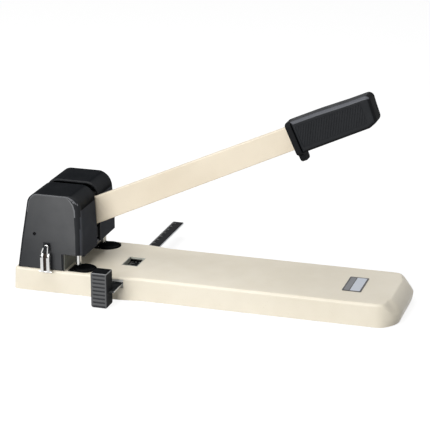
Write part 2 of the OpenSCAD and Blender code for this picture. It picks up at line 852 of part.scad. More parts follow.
// Plate on one side of the bar, from the shaft down to the drive pin.
module lever_plate(s) {
  r = hub_r + 4;
  pr = drive_r + 2.5;
  reach = [drive_dy, -drive_dz];
  n = [drive_dz, drive_dy] / drive_arm;
  color("slategray") difference() {
    translate([s * (arm_plate_in + arm_plate_t / 2), pivot_y, pivot_z]) slab(arm_plate_t) {
      circle(r);
      translate(reach) circle(pr);
      polygon([-n * (r - 0.5), reach - n * (pr - 0.5), reach + n * (pr - 0.5), n * (r - 0.5)]);
      rotate(lever_tilt) translate([0, rivet_t - 8]) square([rivet_s[1] + 6, 16]);
    }
    translate([s * arm_plate_in - 4, pivot_y, pivot_z]) rotate([0, 90, 0]) cylinder(r = hub_r, h = 8);
    translate([s * arm_plate_in - 4, drive_y, drive_z]) rotate([0, 90, 0]) cylinder(r = drive_r, h = 8);
    for (q = rivet_s) on_lever() translate([s * arm_plate_in - 4, -q, rivet_t]) rotate([0, 90, 0])
      cylinder(d = rivet_d, h = 8);
  }
}
module near_lever_plate() lever_plate(-1);
module far_lever_plate() lever_plate(1);

module lever_rivets() {
  color("silver") for (q = rivet_s) on_lever() translate([0, -q, rivet_t]) rotate([0, 90, 0]) {
    translate([0, 0, -arm_plate_out]) cylinder(d = rivet_d, h = 2 * arm_plate_out);
    for (s = [-1, 1]) translate([0, 0, s * (arm_plate_out + rivet_head_h / 2) - rivet_head_h / 2])
      cylinder(d = rivet_head_d, h = rivet_head_h);
  }
}

module drive_pin() {
  color("gainsboro") translate([-lug_out + 0.4, drive_y, drive_z]) rotate([0, 90, 0])
    cylinder(d = drive_d, h = 2 * lug_out - 0.8);
}

// Grip: outline in the bar's frame, with its corners rounded by circles.
module grip_outline(s0, s1, h0, h1, r) {
  difference() {
    polygon([[s0, -h0 / 2], [s1, -h1 / 2], [s1, h1 / 2], [s0, h0 / 2]]);
    for (m = [0, 1]) mirror([0, m]) translate([s1 - r, h1 / 2 - r + 0.1]) difference() {
      square([2 * r, 2 * r]);
      circle(r);
    }
  }
}

module bar_socket() {
  on_lever() slab(bar_t) polygon([
    [socket_at, -bar_half(socket_at)], [bar_end, -bar_half(bar_end)],
    [bar_end, bar_half(bar_end)], [socket_at, bar_half(socket_at)]
  ]);
}

module grip() {
  s0 = grip_at + collar_t;
  s1 = grip_at + grip_len;
  color([0.1, 0.11, 0.12]) difference() {
    on_lever() intersection() {
      slab(grip_w) grip_outline(s0, s1, grip_h, grip_tip_h, grip_corner_r);
      translate([0, -s0 + 5, 0]) rotate([90, 0, 0]) linear_extrude(grip_len + 20) {
        square([grip_w - 2 * grip_wall_r, grip_h + 4], center = true);
        square([grip_w, grip_h - 2 * grip_wall_r], center = true);
        for (a = [-1, 1], b = [-1, 1])
          translate([a * (grip_w / 2 - grip_wall_r), b * (grip_h / 2 - grip_wall_r)]) circle(grip_wall_r);
      }
    }
    bar_socket();
    on_lever() mirror_copy() translate([grip_w / 2 - panel_deep, -panel_end, -panel_h / 2])
      cube([panel_deep + 1, panel_end - s0 - 3, panel_h]);
  }
}

module grip_collar() {
  color([0.09, 0.1, 0.11]) difference() {
    on_lever() {
      slab(grip_w + 1) translate([grip_at, -grip_h / 2]) square([collar_t, grip_h]);
      slab(guard_w) {
        translate([grip_at, -grip_h / 2 - guard_drop]) square([collar_t, grip_h]);
        translate([grip_at + collar_t / 2, -grip_h / 2 - guard_drop]) circle(collar_t / 2);
      }
    }
    bar_socket();
  }
}

// Crosshead
module crosshead() {
  bush_r = rod_bush_d / 2;
  color("darkgray") difference() {
    union() {
      mirror_copy() translate([lug_in, cross_front, cross_z])
        cube([cross_half - lug_in, cross_rear - cross_front, cross_h]);
      translate([-lug_in - 1, cross_front, cross_z]) cube([2 * lug_in + 2, web_rear - cross_front, cross_h]);
      mirror_copy() translate([lug_in, cross_front, cross_z])
        cube([lug_out - lug_in, slot_y + slot_half + slot_r + 3.2 - cross_front, cross_h]);
    }
    for (s = [-1, 1]) {
      translate([s * hole_pitch / 2, 0, cross_z - 1]) cylinder(r = cutter_r, h = cross_h + 2);
      translate([s * rod_x, rod_y, cross_z - 1]) cylinder(r = bush_r, h = cross_h + 2);
      translate([s * hole_pitch / 2, cross_front - 1, cross_z + cross_h / 2]) rotate([-90, 0, 0])
        cylinder(d = set_screw_d, h = -cross_front + 1);
    }
    for (y = [-slot_half, slot_half]) translate([-lug_out - 1, slot_y + y, drive_z])
      rotate([0, 90, 0]) cylinder(r = slot_r, h = 2 * lug_out + 2);
    translate([-lug_out - 1, slot_y - slot_half, drive_z - slot_r])
      cube([2 * lug_out + 2, 2 * slot_half, 2 * slot_r]);
  }
}

module rod_bushes() {
  color("peru") for (s = [-1, 1]) translate([s * rod_x, rod_y, cross_z])
    tube(rod_bush_d / 2, rod_d / 2 + run, cross_h);
}

module cutter(s) {
  bore_r = cutter_r - cutter_wall;
  color("gainsboro") translate([s * hole_pitch / 2, 0, tip_z]) rotate_extrude() polygon([
    [bore_r, 0], [bore_r + 0.1, 0], [cutter_r, 1.2], [cutter_r, cutter_top - tip_z],
    [bore_r, cutter_top - tip_z]
  ]);
}
module near_cutter() cutter(-1);
module far_cutter() cutter(1);

module cutter_set_screws() {
  color("dimgray") for (s = [-1, 1]) translate([s * hole_pitch / 2, cross_front, cross_z + cross_h / 2])
    rotate([-90, 0, 0]) difference() {
      cylinder(d = set_screw_d, h = -cross_front - cutter_r);
      translate([0, 0, -1]) cylinder(d = set_screw_d / 2, h = 2.4, $fn = 6);
    }
}

// Gauge
module gauge_bar() {
  color("silver") difference() {
    translate([bar_x0, gauge_y - gauge_w / 2, gauge_z - gauge_t]) {
      cube([gauge_reach - bar_x0, gauge_w, gauge_t]);
      cube([tab_len, tab_y - gauge_y + gauge_w / 2, gauge_t]);
    }
    for (p = gauge_screw_xy) translate([p[0], p[1], gauge_z - gauge_t - 1])
      cylinder(d = m3 + 2 * drop, h = gauge_t + 2);
  }
}
gauge_screw_xy = [for (dy = [-3.5, 3.5]) [-stop_x - block_t / 2, block_y + dy]];
scale_t = 0.3;

module gauge_scale() {
  color("black") translate([-stop_x + 2, gauge_y - gauge_w / 2 + 0.6, gauge_z])
    cube([gauge_reach + stop_x - 3, gauge_w - 1.2, scale_t]);
}

module gauge_block() {
  x0 = -stop_x - block_t;
  y0 = block_y - block_w / 2;
  color([0.27, 0.27, 0.28]) difference() {
    translate([x0, y0, block_z]) cube([block_t, block_w, block_h]);
    for (i = [0:rib_n - 1]) translate([x0 - 1, y0 + rib_side, block_z + rib_foot + i * rib_pitch])
      cube([1 + rib_deep, block_w - 2 * rib_side, rib_w]);
    translate([bar_x0 - drop, gauge_y - gauge_w / 2 - 1, gauge_z - gauge_t])
      cube([block_t + 2, tab_y + drop - gauge_y + gauge_w / 2 + 1, gauge_t]);
    for (p = gauge_screw_xy) translate([p[0], p[1], block_z - 1]) {
      cylinder(d = m3, h = gauge_z - block_z + 6);
      cylinder(d = m3_head_d + 2 * drop, h = gauge_z - gauge_t - 3 - block_z + 1);
    }
  }
}

module gauge_screws() {
  color("silver") for (p = gauge_screw_xy) translate([p[0], p[1], gauge_z - gauge_t - 5]) {
    cylinder(d = m3_head_d, h = 2);
    cylinder(d = m3, h = 11);
  }
}

// Plastic block in which the bar slides, from the spring out to the wall; on the +X side.
module gauge_guide() {
  rail_w = 3;
  y_off = gauge_w / 2 + 0.2;
  floor_h = gauge_z - gauge_t - 0.2 - plate_z - plate_t;
  translate([guide_in, gauge_y - y_off - rail_w, plate_z + plate_t]) {
    cube([guide_out - guide_in, 2 * (y_off + rail_w), floor_h]);
    for (y = [0, 2 * y_off + rail_w]) translate([0, y, 0])
      cube([guide_out - guide_in, rail_w, under_top - plate_z - plate_t]);
  }
  translate([guide_out - 10, gauge_y - y_off - eps, gauge_z + guide_over])
    cube([10, 2 * y_off + 2 * eps, under_top - gauge_z - guide_over]);
  translate([guide_out - eps, gauge_y - y_off - 0.5, gauge_z + guide_over])
    cube([guide_lip - guide_out, 2 * y_off + 1, slot_above - guide_over - 0.2]);
}

module gauge_guides() {
  color("white") mirror_copy() gauge_guide();
}

// Frame pressed into the window, with a skirt on both sides of the printed strip.
module window_bezel() {
  w = window_w - 2 * drop;
  l = window_l - 2 * drop;
  z0 = gauge_z + 1;
  color("whitesmoke") translate([window_x, window_y, 0]) difference() {
    translate([-w / 2, -l / 2, z0]) cube([w, l, base_top - z0]);
    translate([-w / 2 + bezel_wall, -l / 2 + bezel_wall, z0 - 1])
      cube([w - 2 * bezel_wall, l - 2 * bezel_wall, base_top - z0 + 2]);
    translate([-w / 2 - 1, -l / 2 + bezel_wall, z0 - 1])
      cube([w + 2, l - 2 * bezel_wall, under_top - z0 + 1]);
  }
}

module gauge_spring() {
  spring_z = gauge_z + scale_t + run;
  color("silver") translate([25.5, gauge_y - 4, 0]) {
    translate([0, 0, under_top - 0.8]) cube([17, 8, 0.8]);
    translate([0, 0, spring_z]) cube([0.6, 8, under_top - spring_z]);
    translate([0, 0, spring_z]) cube([10, 8, 0.6]);
  }
}

module front_plate() {
  color("whitesmoke") translate([-tag_w / 2, -tag_at - tag_l / 2, base_top]) cube([tag_w, tag_l, 0.4]);
}

base_shell();
base_plate();
feet();
base_screws();
anvil_plate();
support_pillars();
frame_bolts();
near_disc_ring();
far_disc_ring();
near_disc();
far_disc();
head_block();
guide_plate();
near_cheek();
far_cheek();
cheek_screws();
back_stop();
back_stop_screws();
near_guide_bush();
far_guide_bush();
near_guide_rod();
far_guide_rod();
top_bridge();
bridge_screws();
pivot_shaft();
shaft_circlips();
thrust_washers();
stop_rod();
cover_posts();
near_cover();
far_cover();
cover_screws();
latch_strike();
latch_bracket();
latch_pin();
latch_lever();
latch_hook();
lever_bar();
lever_bush();
near_lever_plate();
far_lever_plate();
lever_rivets();
drive_pin();
grip();
grip_collar();
crosshead();
rod_bushes();
near_cutter();
far_cutter();
cutter_set_screws();
gauge_bar();
gauge_scale();
gauge_block();
gauge_screws();
gauge_guides();
gauge_spring();
window_bezel();
front_plate();
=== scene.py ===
import math

import bmesh
import bpy
from mathutils import Matrix, Vector


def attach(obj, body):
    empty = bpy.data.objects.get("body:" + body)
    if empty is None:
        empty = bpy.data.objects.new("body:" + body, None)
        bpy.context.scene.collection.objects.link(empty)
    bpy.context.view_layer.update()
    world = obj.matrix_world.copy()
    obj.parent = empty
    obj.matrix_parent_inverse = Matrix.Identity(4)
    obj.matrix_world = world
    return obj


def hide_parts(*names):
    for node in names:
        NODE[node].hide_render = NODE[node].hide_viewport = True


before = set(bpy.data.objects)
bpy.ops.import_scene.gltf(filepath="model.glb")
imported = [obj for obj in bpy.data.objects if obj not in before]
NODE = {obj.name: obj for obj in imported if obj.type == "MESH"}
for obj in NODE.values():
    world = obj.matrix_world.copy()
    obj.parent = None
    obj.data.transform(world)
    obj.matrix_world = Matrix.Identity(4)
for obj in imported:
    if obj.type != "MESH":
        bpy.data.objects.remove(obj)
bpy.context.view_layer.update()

MM = 0.001


def rad(a):
    return math.radians(a)


def smooth(t):
    t = min(max(t, 0.0), 1.0)
    return t * t * (3 - 2 * t)


def between(x, keys):
    """Piecewise linear value of keys, a list of (x, value) that grows in x."""
    if x <= keys[0][0]:
        return keys[0][1]
    for (x0, v0), (x1, v1) in zip(keys, keys[1:]):
        if x <= x1:
            return v0 + (v1 - v0) * (x - x0) / (x1 - x0)
    return keys[-1][1]


# ---------------------------------------------------------------- sizes in mm
# The lever's own frame: s runs forward along the bar, t up across it, w along +X.
PIVOT_Y, PIVOT_Z, TILT = 34.0, 64.6, rad(24.6)
BASE_TOP = 26.5


def on_lever(s, t, w):
    return (w, PIVOT_Y - s * math.cos(TILT) + t * math.sin(TILT),
            PIVOT_Z + s * math.sin(TILT) + t * math.cos(TILT))


def across(y, z, w):
    """Outline in (y, z), thickness along X."""
    return (w, y, z)


def upright(x, z, w):
    """Outline in (x, z), thickness along Y."""
    return (x, w, z)


def flat(x, y, w):
    """Outline in (x, y), thickness along Z."""
    return (x, y, w)


# ---------------------------------------------------------------- mesh helpers
def link(name, mesh):
    obj = bpy.data.objects.new(name, mesh)
    bpy.context.scene.collection.objects.link(obj)
    return obj


def make(name, verts, faces):
    mesh = bpy.data.meshes.new(name)
    mesh.from_pydata([Vector(v) * MM for v in verts], [], faces)
    bm = bmesh.new()
    bm.from_mesh(mesh)
    bmesh.ops.remove_doubles(bm, verts=bm.verts, dist=1e-7)
    bmesh.ops.recalc_face_normals(bm, faces=bm.faces)
    bm.to_mesh(mesh)
    bm.free()
    return link(name, mesh)


def stack(name, rings, capped=True):
    """Skin over closed rings of the same number of points."""
    n = len(rings[0])
    verts = [p for ring in rings for p in ring]
    faces = []
    for k in range(len(rings) - 1):
        for i in range(n):
            j = (i + 1) % n
            faces.append((k * n + i, k * n + j, (k + 1) * n + j, (k + 1) * n + i))
    if capped:
        faces.append(tuple(range(n)))
        faces.append(tuple(range((len(rings) - 1) * n, len(rings) * n)))
    return make(name, verts, faces)


def inset(points, d):
    """A counter-clockwise outline drawn in by d, one value or one for each point."""
    out = []
    n = len(points)
    for i in range(n):
        p, a, b = Vector(points[i]), Vector(points[i - 1]), Vector(points[(i + 1) % n])
        e1, e2 = (p - a).normalized(), (b - p).normalized()
        n1, n2 = Vector((e1.y, -e1.x)), Vector((e2.y, -e2.x))
        m = (n1 + n2) / max(1 + n1.dot(n2), 0.25)
        di = d[i] if isinstance(d, list) else d
        out.append((p.x - m.x * di, p.y - m.y * di))
    return out


def rounded(corners, n=6):
    """Outline through counter-clockwise corners (x, y, radius)."""
    out = []
    for i, (x, y, r) in enumerate(corners):
        if r <= 0:
            out.append((x, y))
            continue
        c = Vector((x, y))
        u = (Vector(corners[i - 1][:2]) - c).normalized()
        v = (Vector(corners[(i + 1) % len(corners)][:2]) - c).normalized()
        half = u.angle(v) / 2
        centre = c + (u + v).normalized() * (r / math.sin(half))
        a = c + u * (r / math.tan(half)) - centre
        b = c + v * (r / math.tan(half)) - centre
        a0 = math.atan2(a.y, a.x)
        turn = (math.atan2(b.y, b.x) - a0 + math.pi) % (2 * math.pi) - math.pi
        for k in range(n + 1):
            g = a0 + turn * k / n
            out.append((centre.x + r * math.cos(g), centre.y + r * math.sin(g)))
    return out


def box_outline(x0, y0, x1, y1, r=0.0):
    return rounded([(x0, y0, r), (x1, y0, r), (x1, y1, r), (x0, y1, r)])


def arc(cx, cy, r, start, end, n):
    """n + 1 points on a circle, from start to end in degrees."""
    turn = [rad(start + (end - start) * k / n) for k in range(n + 1)]
    return [(cx + r * math.cos(g), cy + r * math.sin(g)) for g in turn]


def slab(name, outline, place, lo, hi, r_lo=0.0, r_hi=None, steps=4):
    """Outline given a thickness from lo to hi, its two edges rounded by r_lo and r_hi."""
    r_hi = r_lo if r_hi is None else r_hi
    rings = []
    for end, r, sign in ((lo, r_lo, 1), (hi, r_hi, -1)):
        span = range(steps + 1) if r > 0 else range(1)
        part = []
        for k in span:
            g = rad(90 * k / steps)
            part.append([place(u, v, end + sign * r * (1 - math.cos(g)))
                         for u, v in inset(outline, r * (1 - math.sin(g)))])
        rings += part if sign > 0 else part[::-1]
    return stack(name, rings)


def block(name, x0, y0, z0, x1, y1, z1):
    """Plain box: a cutter, or the lip of the near cover's notch."""
    return slab(name, box_outline(x0, y0, x1, y1), flat, z0, z1)


def lathe(name, profile, centre, n=72):
    """Closed profile of (radius, height) turned about Z."""
    verts, faces = [], []
    m = len(profile)
    for i in range(n):
        g = 2 * math.pi * i / n
        for r, z in profile:
            verts.append((centre[0] + r * math.cos(g), centre[1] + r * math.sin(g), z))
    for i in range(n):
        j = (i + 1) % n
        for k in range(m):
            q = (k + 1) % m
            if profile[k][0] < 1e-6 and profile[q][0] < 1e-6:
                continue
            faces.append((i * m + k, j * m + k, j * m + q, i * m + q))
    return make(name, verts, faces)


def ring_about(centre, side, up, r, n):
    """Circle of n points round centre, in the plane of side and up."""
    turn = [2 * math.pi * k / n for k in range(n)]
    return [tuple(Vector(centre) + r * (side * math.cos(g) + up * math.sin(g))) for g in turn]


def rod(name, p, q, r, n=40):
    """Straight pin from p to q, only ever used as a cutter."""
    axis = (Vector(q) - Vector(p)).normalized()
    side = axis.orthogonal().normalized()
    up = axis.cross(side)
    return stack(name, [ring_about(end, side, up, r, n) for end in (p, q)])


def wire(name, points, r, sides=14):
    """Round wire along a path."""
    rings = []
    pts = [Vector(p) for p in points]
    t = (pts[1] - pts[0]).normalized()
    side = t.orthogonal().normalized()
    for i, p in enumerate(pts):
        a = pts[i] - pts[i - 1] if i else pts[1] - pts[0]
        b = pts[i + 1] - pts[i] if i + 1 < len(pts) else a
        t = (a.normalized() + b.normalized()).normalized()
        side = (side - t * side.dot(t)).normalized()
        rings.append(ring_about(p, side, t.cross(side), r, sides))
    return stack(name, rings)


def settle(obj):
    """Applies the object's modifiers to its mesh."""
    bpy.context.view_layer.update()
    deps = bpy.context.evaluated_depsgraph_get()
    mesh = bpy.data.meshes.new_from_object(obj.evaluated_get(deps), depsgraph=deps)
    obj.modifiers.clear()
    old, obj.data = obj.data, mesh
    bpy.data.meshes.remove(old)


def merge(name, parts):
    """Several loose shapes as one mesh."""
    bm = bmesh.new()
    for p in parts:
        bm.from_mesh(p.data)
        bpy.data.objects.remove(p)
    mesh = bpy.data.meshes.new(name)
    bm.to_mesh(mesh)
    bm.free()
    return link(name, mesh)


def carve(obj, cutters, operation="DIFFERENCE"):
    for c in cutters:
        m = obj.modifiers.new("carve", "BOOLEAN")
        m.operation, m.solver, m.object = operation, "EXACT", c
        settle(obj)
        bpy.data.objects.remove(c)
    return obj


def finish_piece(obj, body, slot, nodes=(), angle=34, mats=None):
    """Shading, finish, body and the CAD nodes that this piece stands for."""
    mesh = obj.data
    index = [p.material_index for p in mesh.polygons]
    mesh.materials.clear()
    for m in mats or [MAT[slot]]:
        mesh.materials.append(m)
    if mats and len(mats) > 1:
        mesh.polygons.foreach_set("material_index", index)
    mesh.polygons.foreach_set("use_smooth", [True] * len(mesh.polygons))
    mesh.set_sharp_from_angle(angle=rad(angle))
    m = obj.modifiers.new("normals", "WEIGHTED_NORMAL")
    m.keep_sharp = True
    m.weight = 60
    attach(obj, body)
    if nodes:
        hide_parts(*nodes)
    return obj


# ---------------------------------------------------------------- materials
class Shader:
    """One material with helper calls for its nodes."""

    def __init__(self, name):
        self.mat = bpy.data.materials.new(name)
        self.mat.use_nodes = True
        self.tree = self.mat.node_tree
        self.bsdf = self.tree.nodes["Principled BSDF"]
        self.coord = self.tree.nodes.new("ShaderNodeTexCoord").outputs["Object"]

    def new(self, kind, **props):
        node = self.tree.nodes.new(kind)
        for key, value in props.items():
            setattr(node, key, value)
        return node

    def wire(self, out, into):
        self.tree.links.new(out, into)

    def noise(self, scale, detail=4.0, stretch=(1, 1, 1), rough=0.55):
        mapping = self.new("ShaderNodeMapping")
        mapping.inputs["Scale"].default_value = stretch
        self.wire(self.coord, mapping.inputs["Vector"])
        node = self.new("ShaderNodeTexNoise")
        node.inputs["Scale"].default_value = scale
        node.inputs["Detail"].default_value = detail
        node.inputs["Roughness"].default_value = rough
        self.wire(mapping.outputs["Vector"], node.inputs["Vector"])
        return node.outputs["Fac"]

    def span(self, value, a, b, lo, hi):
        node = self.new("ShaderNodeMapRange")
        for key, v in (("From Min", a), ("From Max", b), ("To Min", lo), ("To Max", hi)):
            node.inputs[key].default_value = v
        self.wire(value, node.inputs["Value"])
        return node.outputs["Result"]

    def math(self, kind, a, b):
        node = self.new("ShaderNodeMath", operation=kind)
        for socket, v in ((node.inputs[0], a), (node.inputs[1], b)):
            if isinstance(v, (int, float)):
                socket.default_value = v
            else:
                self.wire(v, socket)
        return node.outputs["Value"]

    def mix(self, fac, a, b):
        node = self.new("ShaderNodeMix", data_type="RGBA")
        if isinstance(fac, (int, float)):
            node.inputs["Factor"].default_value = fac
        else:
            self.wire(fac, node.inputs["Factor"])
        for socket, v in ((node.inputs["A"], a), (node.inputs["B"], b)):
            if isinstance(v, tuple):
                socket.default_value = (*v, 1.0)
            else:
                self.wire(v, socket)
        return node.outputs["Result"]

    def edges(self, radius_mm):
        """1 on rounded or sharp outer edges, 0 on flat faces."""
        bevel = self.new("ShaderNodeBevel", samples=4)
        bevel.inputs["Radius"].default_value = radius_mm * MM
        geo = self.new("ShaderNodeNewGeometry")
        dot = self.new("ShaderNodeVectorMath", operation="DOT_PRODUCT")
        self.wire(bevel.outputs["Normal"], dot.inputs[0])
        self.wire(geo.outputs["Normal"], dot.inputs[1])
        return self.span(dot.outputs["Value"], 0.99, 0.8, 0.0, 1.0)

    def axis(self, name):
        node = self.new("ShaderNodeSeparateXYZ")
        self.wire(self.coord, node.inputs["Vector"])
        return node.outputs[name]

    def bump(self, height, distance_mm, strength=1.0):
        node = self.new("ShaderNodeBump")
        node.inputs["Strength"].default_value = strength
        node.inputs["Distance"].default_value = distance_mm * MM
        self.wire(height, node.inputs["Height"])
        self.wire(node.outputs["Normal"], self.bsdf.inputs["Normal"])

    def sheen(self, level, grazing, painted_rear_shade=False):
        """Mirror strength that falls off towards grazing views, as on a finely pebbled skin.

        painted_rear_shade weakens it towards the rear and the bottom: painted shade, a falloff of
        light laid into the mirror strength.
        """
        node = self.new("ShaderNodeLayerWeight")
        node.inputs["Blend"].default_value = 0.5
        shine = self.span(node.outputs["Facing"], 0.25, 0.62, level, grazing)
        if painted_rear_shade:
            raised = self.math("MULTIPLY", self.axis("Z"), 0.5)
            along = self.math("SUBTRACT", raised, self.axis("Y"))
            rear_shade = self.span(along, -0.045, 0.035, 0.42, 1.0)
            shine = self.math("MULTIPLY", shine, rear_shade)
        self.wire(shine, self.bsdf.inputs["Specular IOR Level"])

    def set(self, color=None, rough=None, metallic=0.0, specular=0.5, coat=0.0):
        b = self.bsdf.inputs
        if isinstance(color, tuple):
            b["Base Color"].default_value = (*color, 1.0)
        elif color is not None:
            self.wire(color, b["Base Color"])
        if isinstance(rough, (int, float)):
            b["Roughness"].default_value = rough
        elif rough is not None:
            self.wire(rough, b["Roughness"])
        b["Metallic"].default_value = metallic
        if not b["Specular IOR Level"].is_linked:
            b["Specular IOR Level"].default_value = specular
        b["Coat Weight"].default_value = coat
        return self.mat


def srgb(r, g, b):
    """Linear colour of an 8-bit display colour."""
    return tuple(((c / 255 + 0.055) / 1.055) ** 2.4 if c > 10 else c / 255 / 12.92
                 for c in (r, g, b))


# The finishes below take their two colours as 8-bit display colours.
def enamel(name, color, dirt, rough=0.38):
    """Sprayed paint: soft orange peel, mottled tones and specks, edges rubbed lighter."""
    color, dirt = srgb(*color), srgb(*dirt)
    s = Shader(name)
    tone = s.span(s.noise(14, 3), 0.35, 0.65, 0.0, 0.5)
    speck = s.span(s.noise(420, 2), 0.66, 0.74, 0.0, 0.35)
    body = s.mix(tone, color, dirt)
    body = s.mix(speck, body, dirt)
    rubbed = tuple(min(1, c * 1.08) for c in color)
    body = s.mix(s.math("MULTIPLY", s.edges(0.9), 0.25), body, rubbed)
    s.bump(s.noise(900, 3), 0.03, 0.5)
    return s.set(body, s.span(s.noise(90, 4), 0.3, 0.7, rough - 0.06, rough + 0.08))


FINE, SKIN, FILM = 2600, 2200, 900  # noise scales of a plastic's grain


def moulded(name, color, light, rough=0.5, grain=FINE, depth=0.03, specular=0.45,
            grazing=None, painted_rear_shade=False):
    """Moulded plastic with an eroded grain and faint rubbed edges; painted_rear_shade adds painted
    shade to its sheen.
    """
    color, light = srgb(*color), srgb(*light)
    s = Shader(name)
    if grazing is not None:
        s.sheen(specular, grazing, painted_rear_shade)
    tone = s.span(s.noise(18, 4), 0.3, 0.7, 0.0, 0.5)
    fine = s.span(s.noise(grain, 3), 0.35, 0.65, 0.0, 0.5)
    body = s.mix(tone, color, light)
    body = s.mix(s.math("MULTIPLY", fine, 0.35), body, light)
    rubbed = tuple(c * 1.6 for c in light)
    body = s.mix(s.math("MULTIPLY", s.edges(0.6), 0.3), body, rubbed)
    s.bump(s.noise(grain, 3), depth, 0.6)
    dull = s.span(s.noise(60, 4), 0.3, 0.7, rough - 0.05, rough + 0.07)
    return s.set(body, dull, specular=specular)


def metal(name, color, dark, rough=0.3, stretch=(1, 1, 1), scale=900, depth=0.01):
    """Machined or plated metal with drawn streaks and slight staining."""
    color, dark = srgb(*color), srgb(*dark)
    s = Shader(name)
    streak = s.noise(scale, 5, stretch, 0.6)
    stain = s.span(s.noise(60, 5), 0.42, 0.7, 0.0, 0.45)
    body = s.mix(s.span(streak, 0.3, 0.7, 0.0, 0.45), color, dark)
    body = s.mix(stain, body, dark)
    s.bump(streak, depth, 0.5)
    return s.set(body, s.span(streak, 0.3, 0.7, rough - 0.07, rough + 0.1), metallic=1.0)


# Print of the gauge's strip: its rear edge in Y, its pale band and its dashes along X.
TICK_TOP = -44.8
BAND, DASHES, DASH_PITCH = (19.5, 23.0), (11.2, 12.8), 4.2


def scale_ink(name):
    """Black printed strip with plain white ticks along X, longer every fifth one."""
    s = Shader(name)
    x, y = s.axis("X"), s.axis("Y")

    def both(a, b):
        return s.math("MULTIPLY", a, b)

    def repeat(value, pitch):
        """Runs from 0 to 1 over each pitch."""
        return s.math("FRACT", both(s.math("ADD", value, 1.0), 1000 / pitch), 0.0)

    def ticks(pitch, width, reach):
        off = s.math("ABSOLUTE", s.math("SUBTRACT", repeat(x, pitch), 0.5), 0.0)
        near = s.math("LESS_THAN", off, width / pitch / 2)
        return both(near, s.math("GREATER_THAN", y, (TICK_TOP - reach) * MM))

    def band(x0, x1):
        return both(s.math("GREATER_THAN", x, x0 * MM), s.math("LESS_THAN", x, x1 * MM))

    dash = s.math("LESS_THAN", repeat(y, DASH_PITCH), 0.45)
    marks = s.math("MAXIMUM", ticks(2.5, 0.35, 2.4), ticks(12.5, 0.5, 5.0))
    edge = s.math("GREATER_THAN", y, (TICK_TOP - 0.4) * MM)
    for more in (edge, band(*BAND), both(band(*DASHES), dash)):
        marks = s.math("MAXIMUM", marks, more)
    dull = s.mix(s.noise(300, 3), srgb(28, 29, 31), srgb(38, 39, 41))
    ink = s.mix(both(marks, 0.75), dull, srgb(225, 226, 224))
    s.sheen(0.3, 0.02)
    s.bump(s.noise(1500, 2), 0.01, 0.3)
    return s.set(ink, s.span(s.noise(200, 3), 0.3, 0.7, 0.45, 0.6))


MAT = {
    "cream_paint": enamel("cream_enamel", (243, 235, 217), (226, 216, 194)),
    "lever_paint": enamel("lever_enamel", (240, 228, 206), (222, 208, 184), 0.34),
    # The back stop's grey olive is darker than the base's cream; in part it is painted shade for
    # the shade under the head.
    "stop_paint": enamel("stop_enamel", (126, 128, 118), (98, 100, 90), 0.5),
    # The covers' sheen fades towards the low rear as painted shade.
    "cover_paint": moulded("cover_skin", (26, 28, 31), (34, 36, 39),
                           0.55, SKIN, 0.04, 0.78, 0.006, True),
    "grip_plastic": moulded("grip_skin", (24, 26, 29), (32, 34, 37), 0.55, FINE, 0.03, 0.17, 0.06),
    "gauge_plastic": moulded("gauge_skin", (50, 51, 53), (60, 61, 63),
                             0.5, FINE, 0.03, 0.85, 0.006),
    "disc_plastic": moulded("disc_skin", (12, 13, 15), (18, 19, 21), 0.6, FINE, 0.03, 0.08, 0.001),
    "ring_plastic": moulded("ring_skin", (12, 12, 13), (18, 18, 19), 0.6, FINE, 0.03, 0.08, 0.001),
    "guide_plastic": moulded("guide_skin", (232, 232, 228), (220, 220, 214), 0.45),
    "rubber": moulded("rubber_skin", (26, 26, 26), (40, 40, 39), 0.7, 1400, 0.08, 0.3),
    "cast_grey": metal("dull_frame", (92, 94, 98), (60, 62, 66), 0.48),
    "steel": metal("drawn_steel", (188, 190, 192), (150, 152, 154), 0.34, (1, 14, 14)),
    "hard_steel": metal("ground_steel", (200, 202, 206), (150, 152, 158), 0.22, (10, 10, 1)),
    "bright_steel": metal("plated_steel", (226, 226, 224), (180, 181, 182), 0.2, (1, 1, 1), 300),
    "zinc": metal("zinc_plate", (196, 198, 200), (150, 154, 160), 0.36),
    "bronze": metal("sintered_bronze", (190, 140, 92), (140, 98, 60), 0.42),
    "scale_film": scale_ink("printed_scale"),
    "plate_film": moulded("plate_white", (226, 227, 226), (214, 216, 216), 0.35, FILM, 0.01),
}
plate_black = moulded("plate_black", (24, 25, 27), (34, 35, 37), 0.35, FILM, 0.01)
rail_black_and_table_shade = moulded("rail_black_and_table_shade", (26, 27, 29), (36, 37, 39), 0.5, FILM, 0.01, 0.3, 0.02)
screw_black = metal("screw_black", (48, 49, 52), (30, 31, 33), 0.5)
bezel_shaded_grey = moulded("bezel_shaded_grey", (196, 198, 188), (180, 182, 172), 0.5, FILM, 0.01)
grip_dark_and_shade = moulded("grip_dark_and_shade", (14, 15, 17), (22, 23, 25), 0.55, FINE, 0.03, 0.1, 0.02)
grip_highlight = moulded("grip_highlight", (70, 72, 78), (80, 82, 88), 0.5, FINE, 0.02, 0.5, 0.1)
plate_grey = moulded("plate_grey", (112, 114, 118), (100, 102, 106), 0.35, FILM, 0.01)
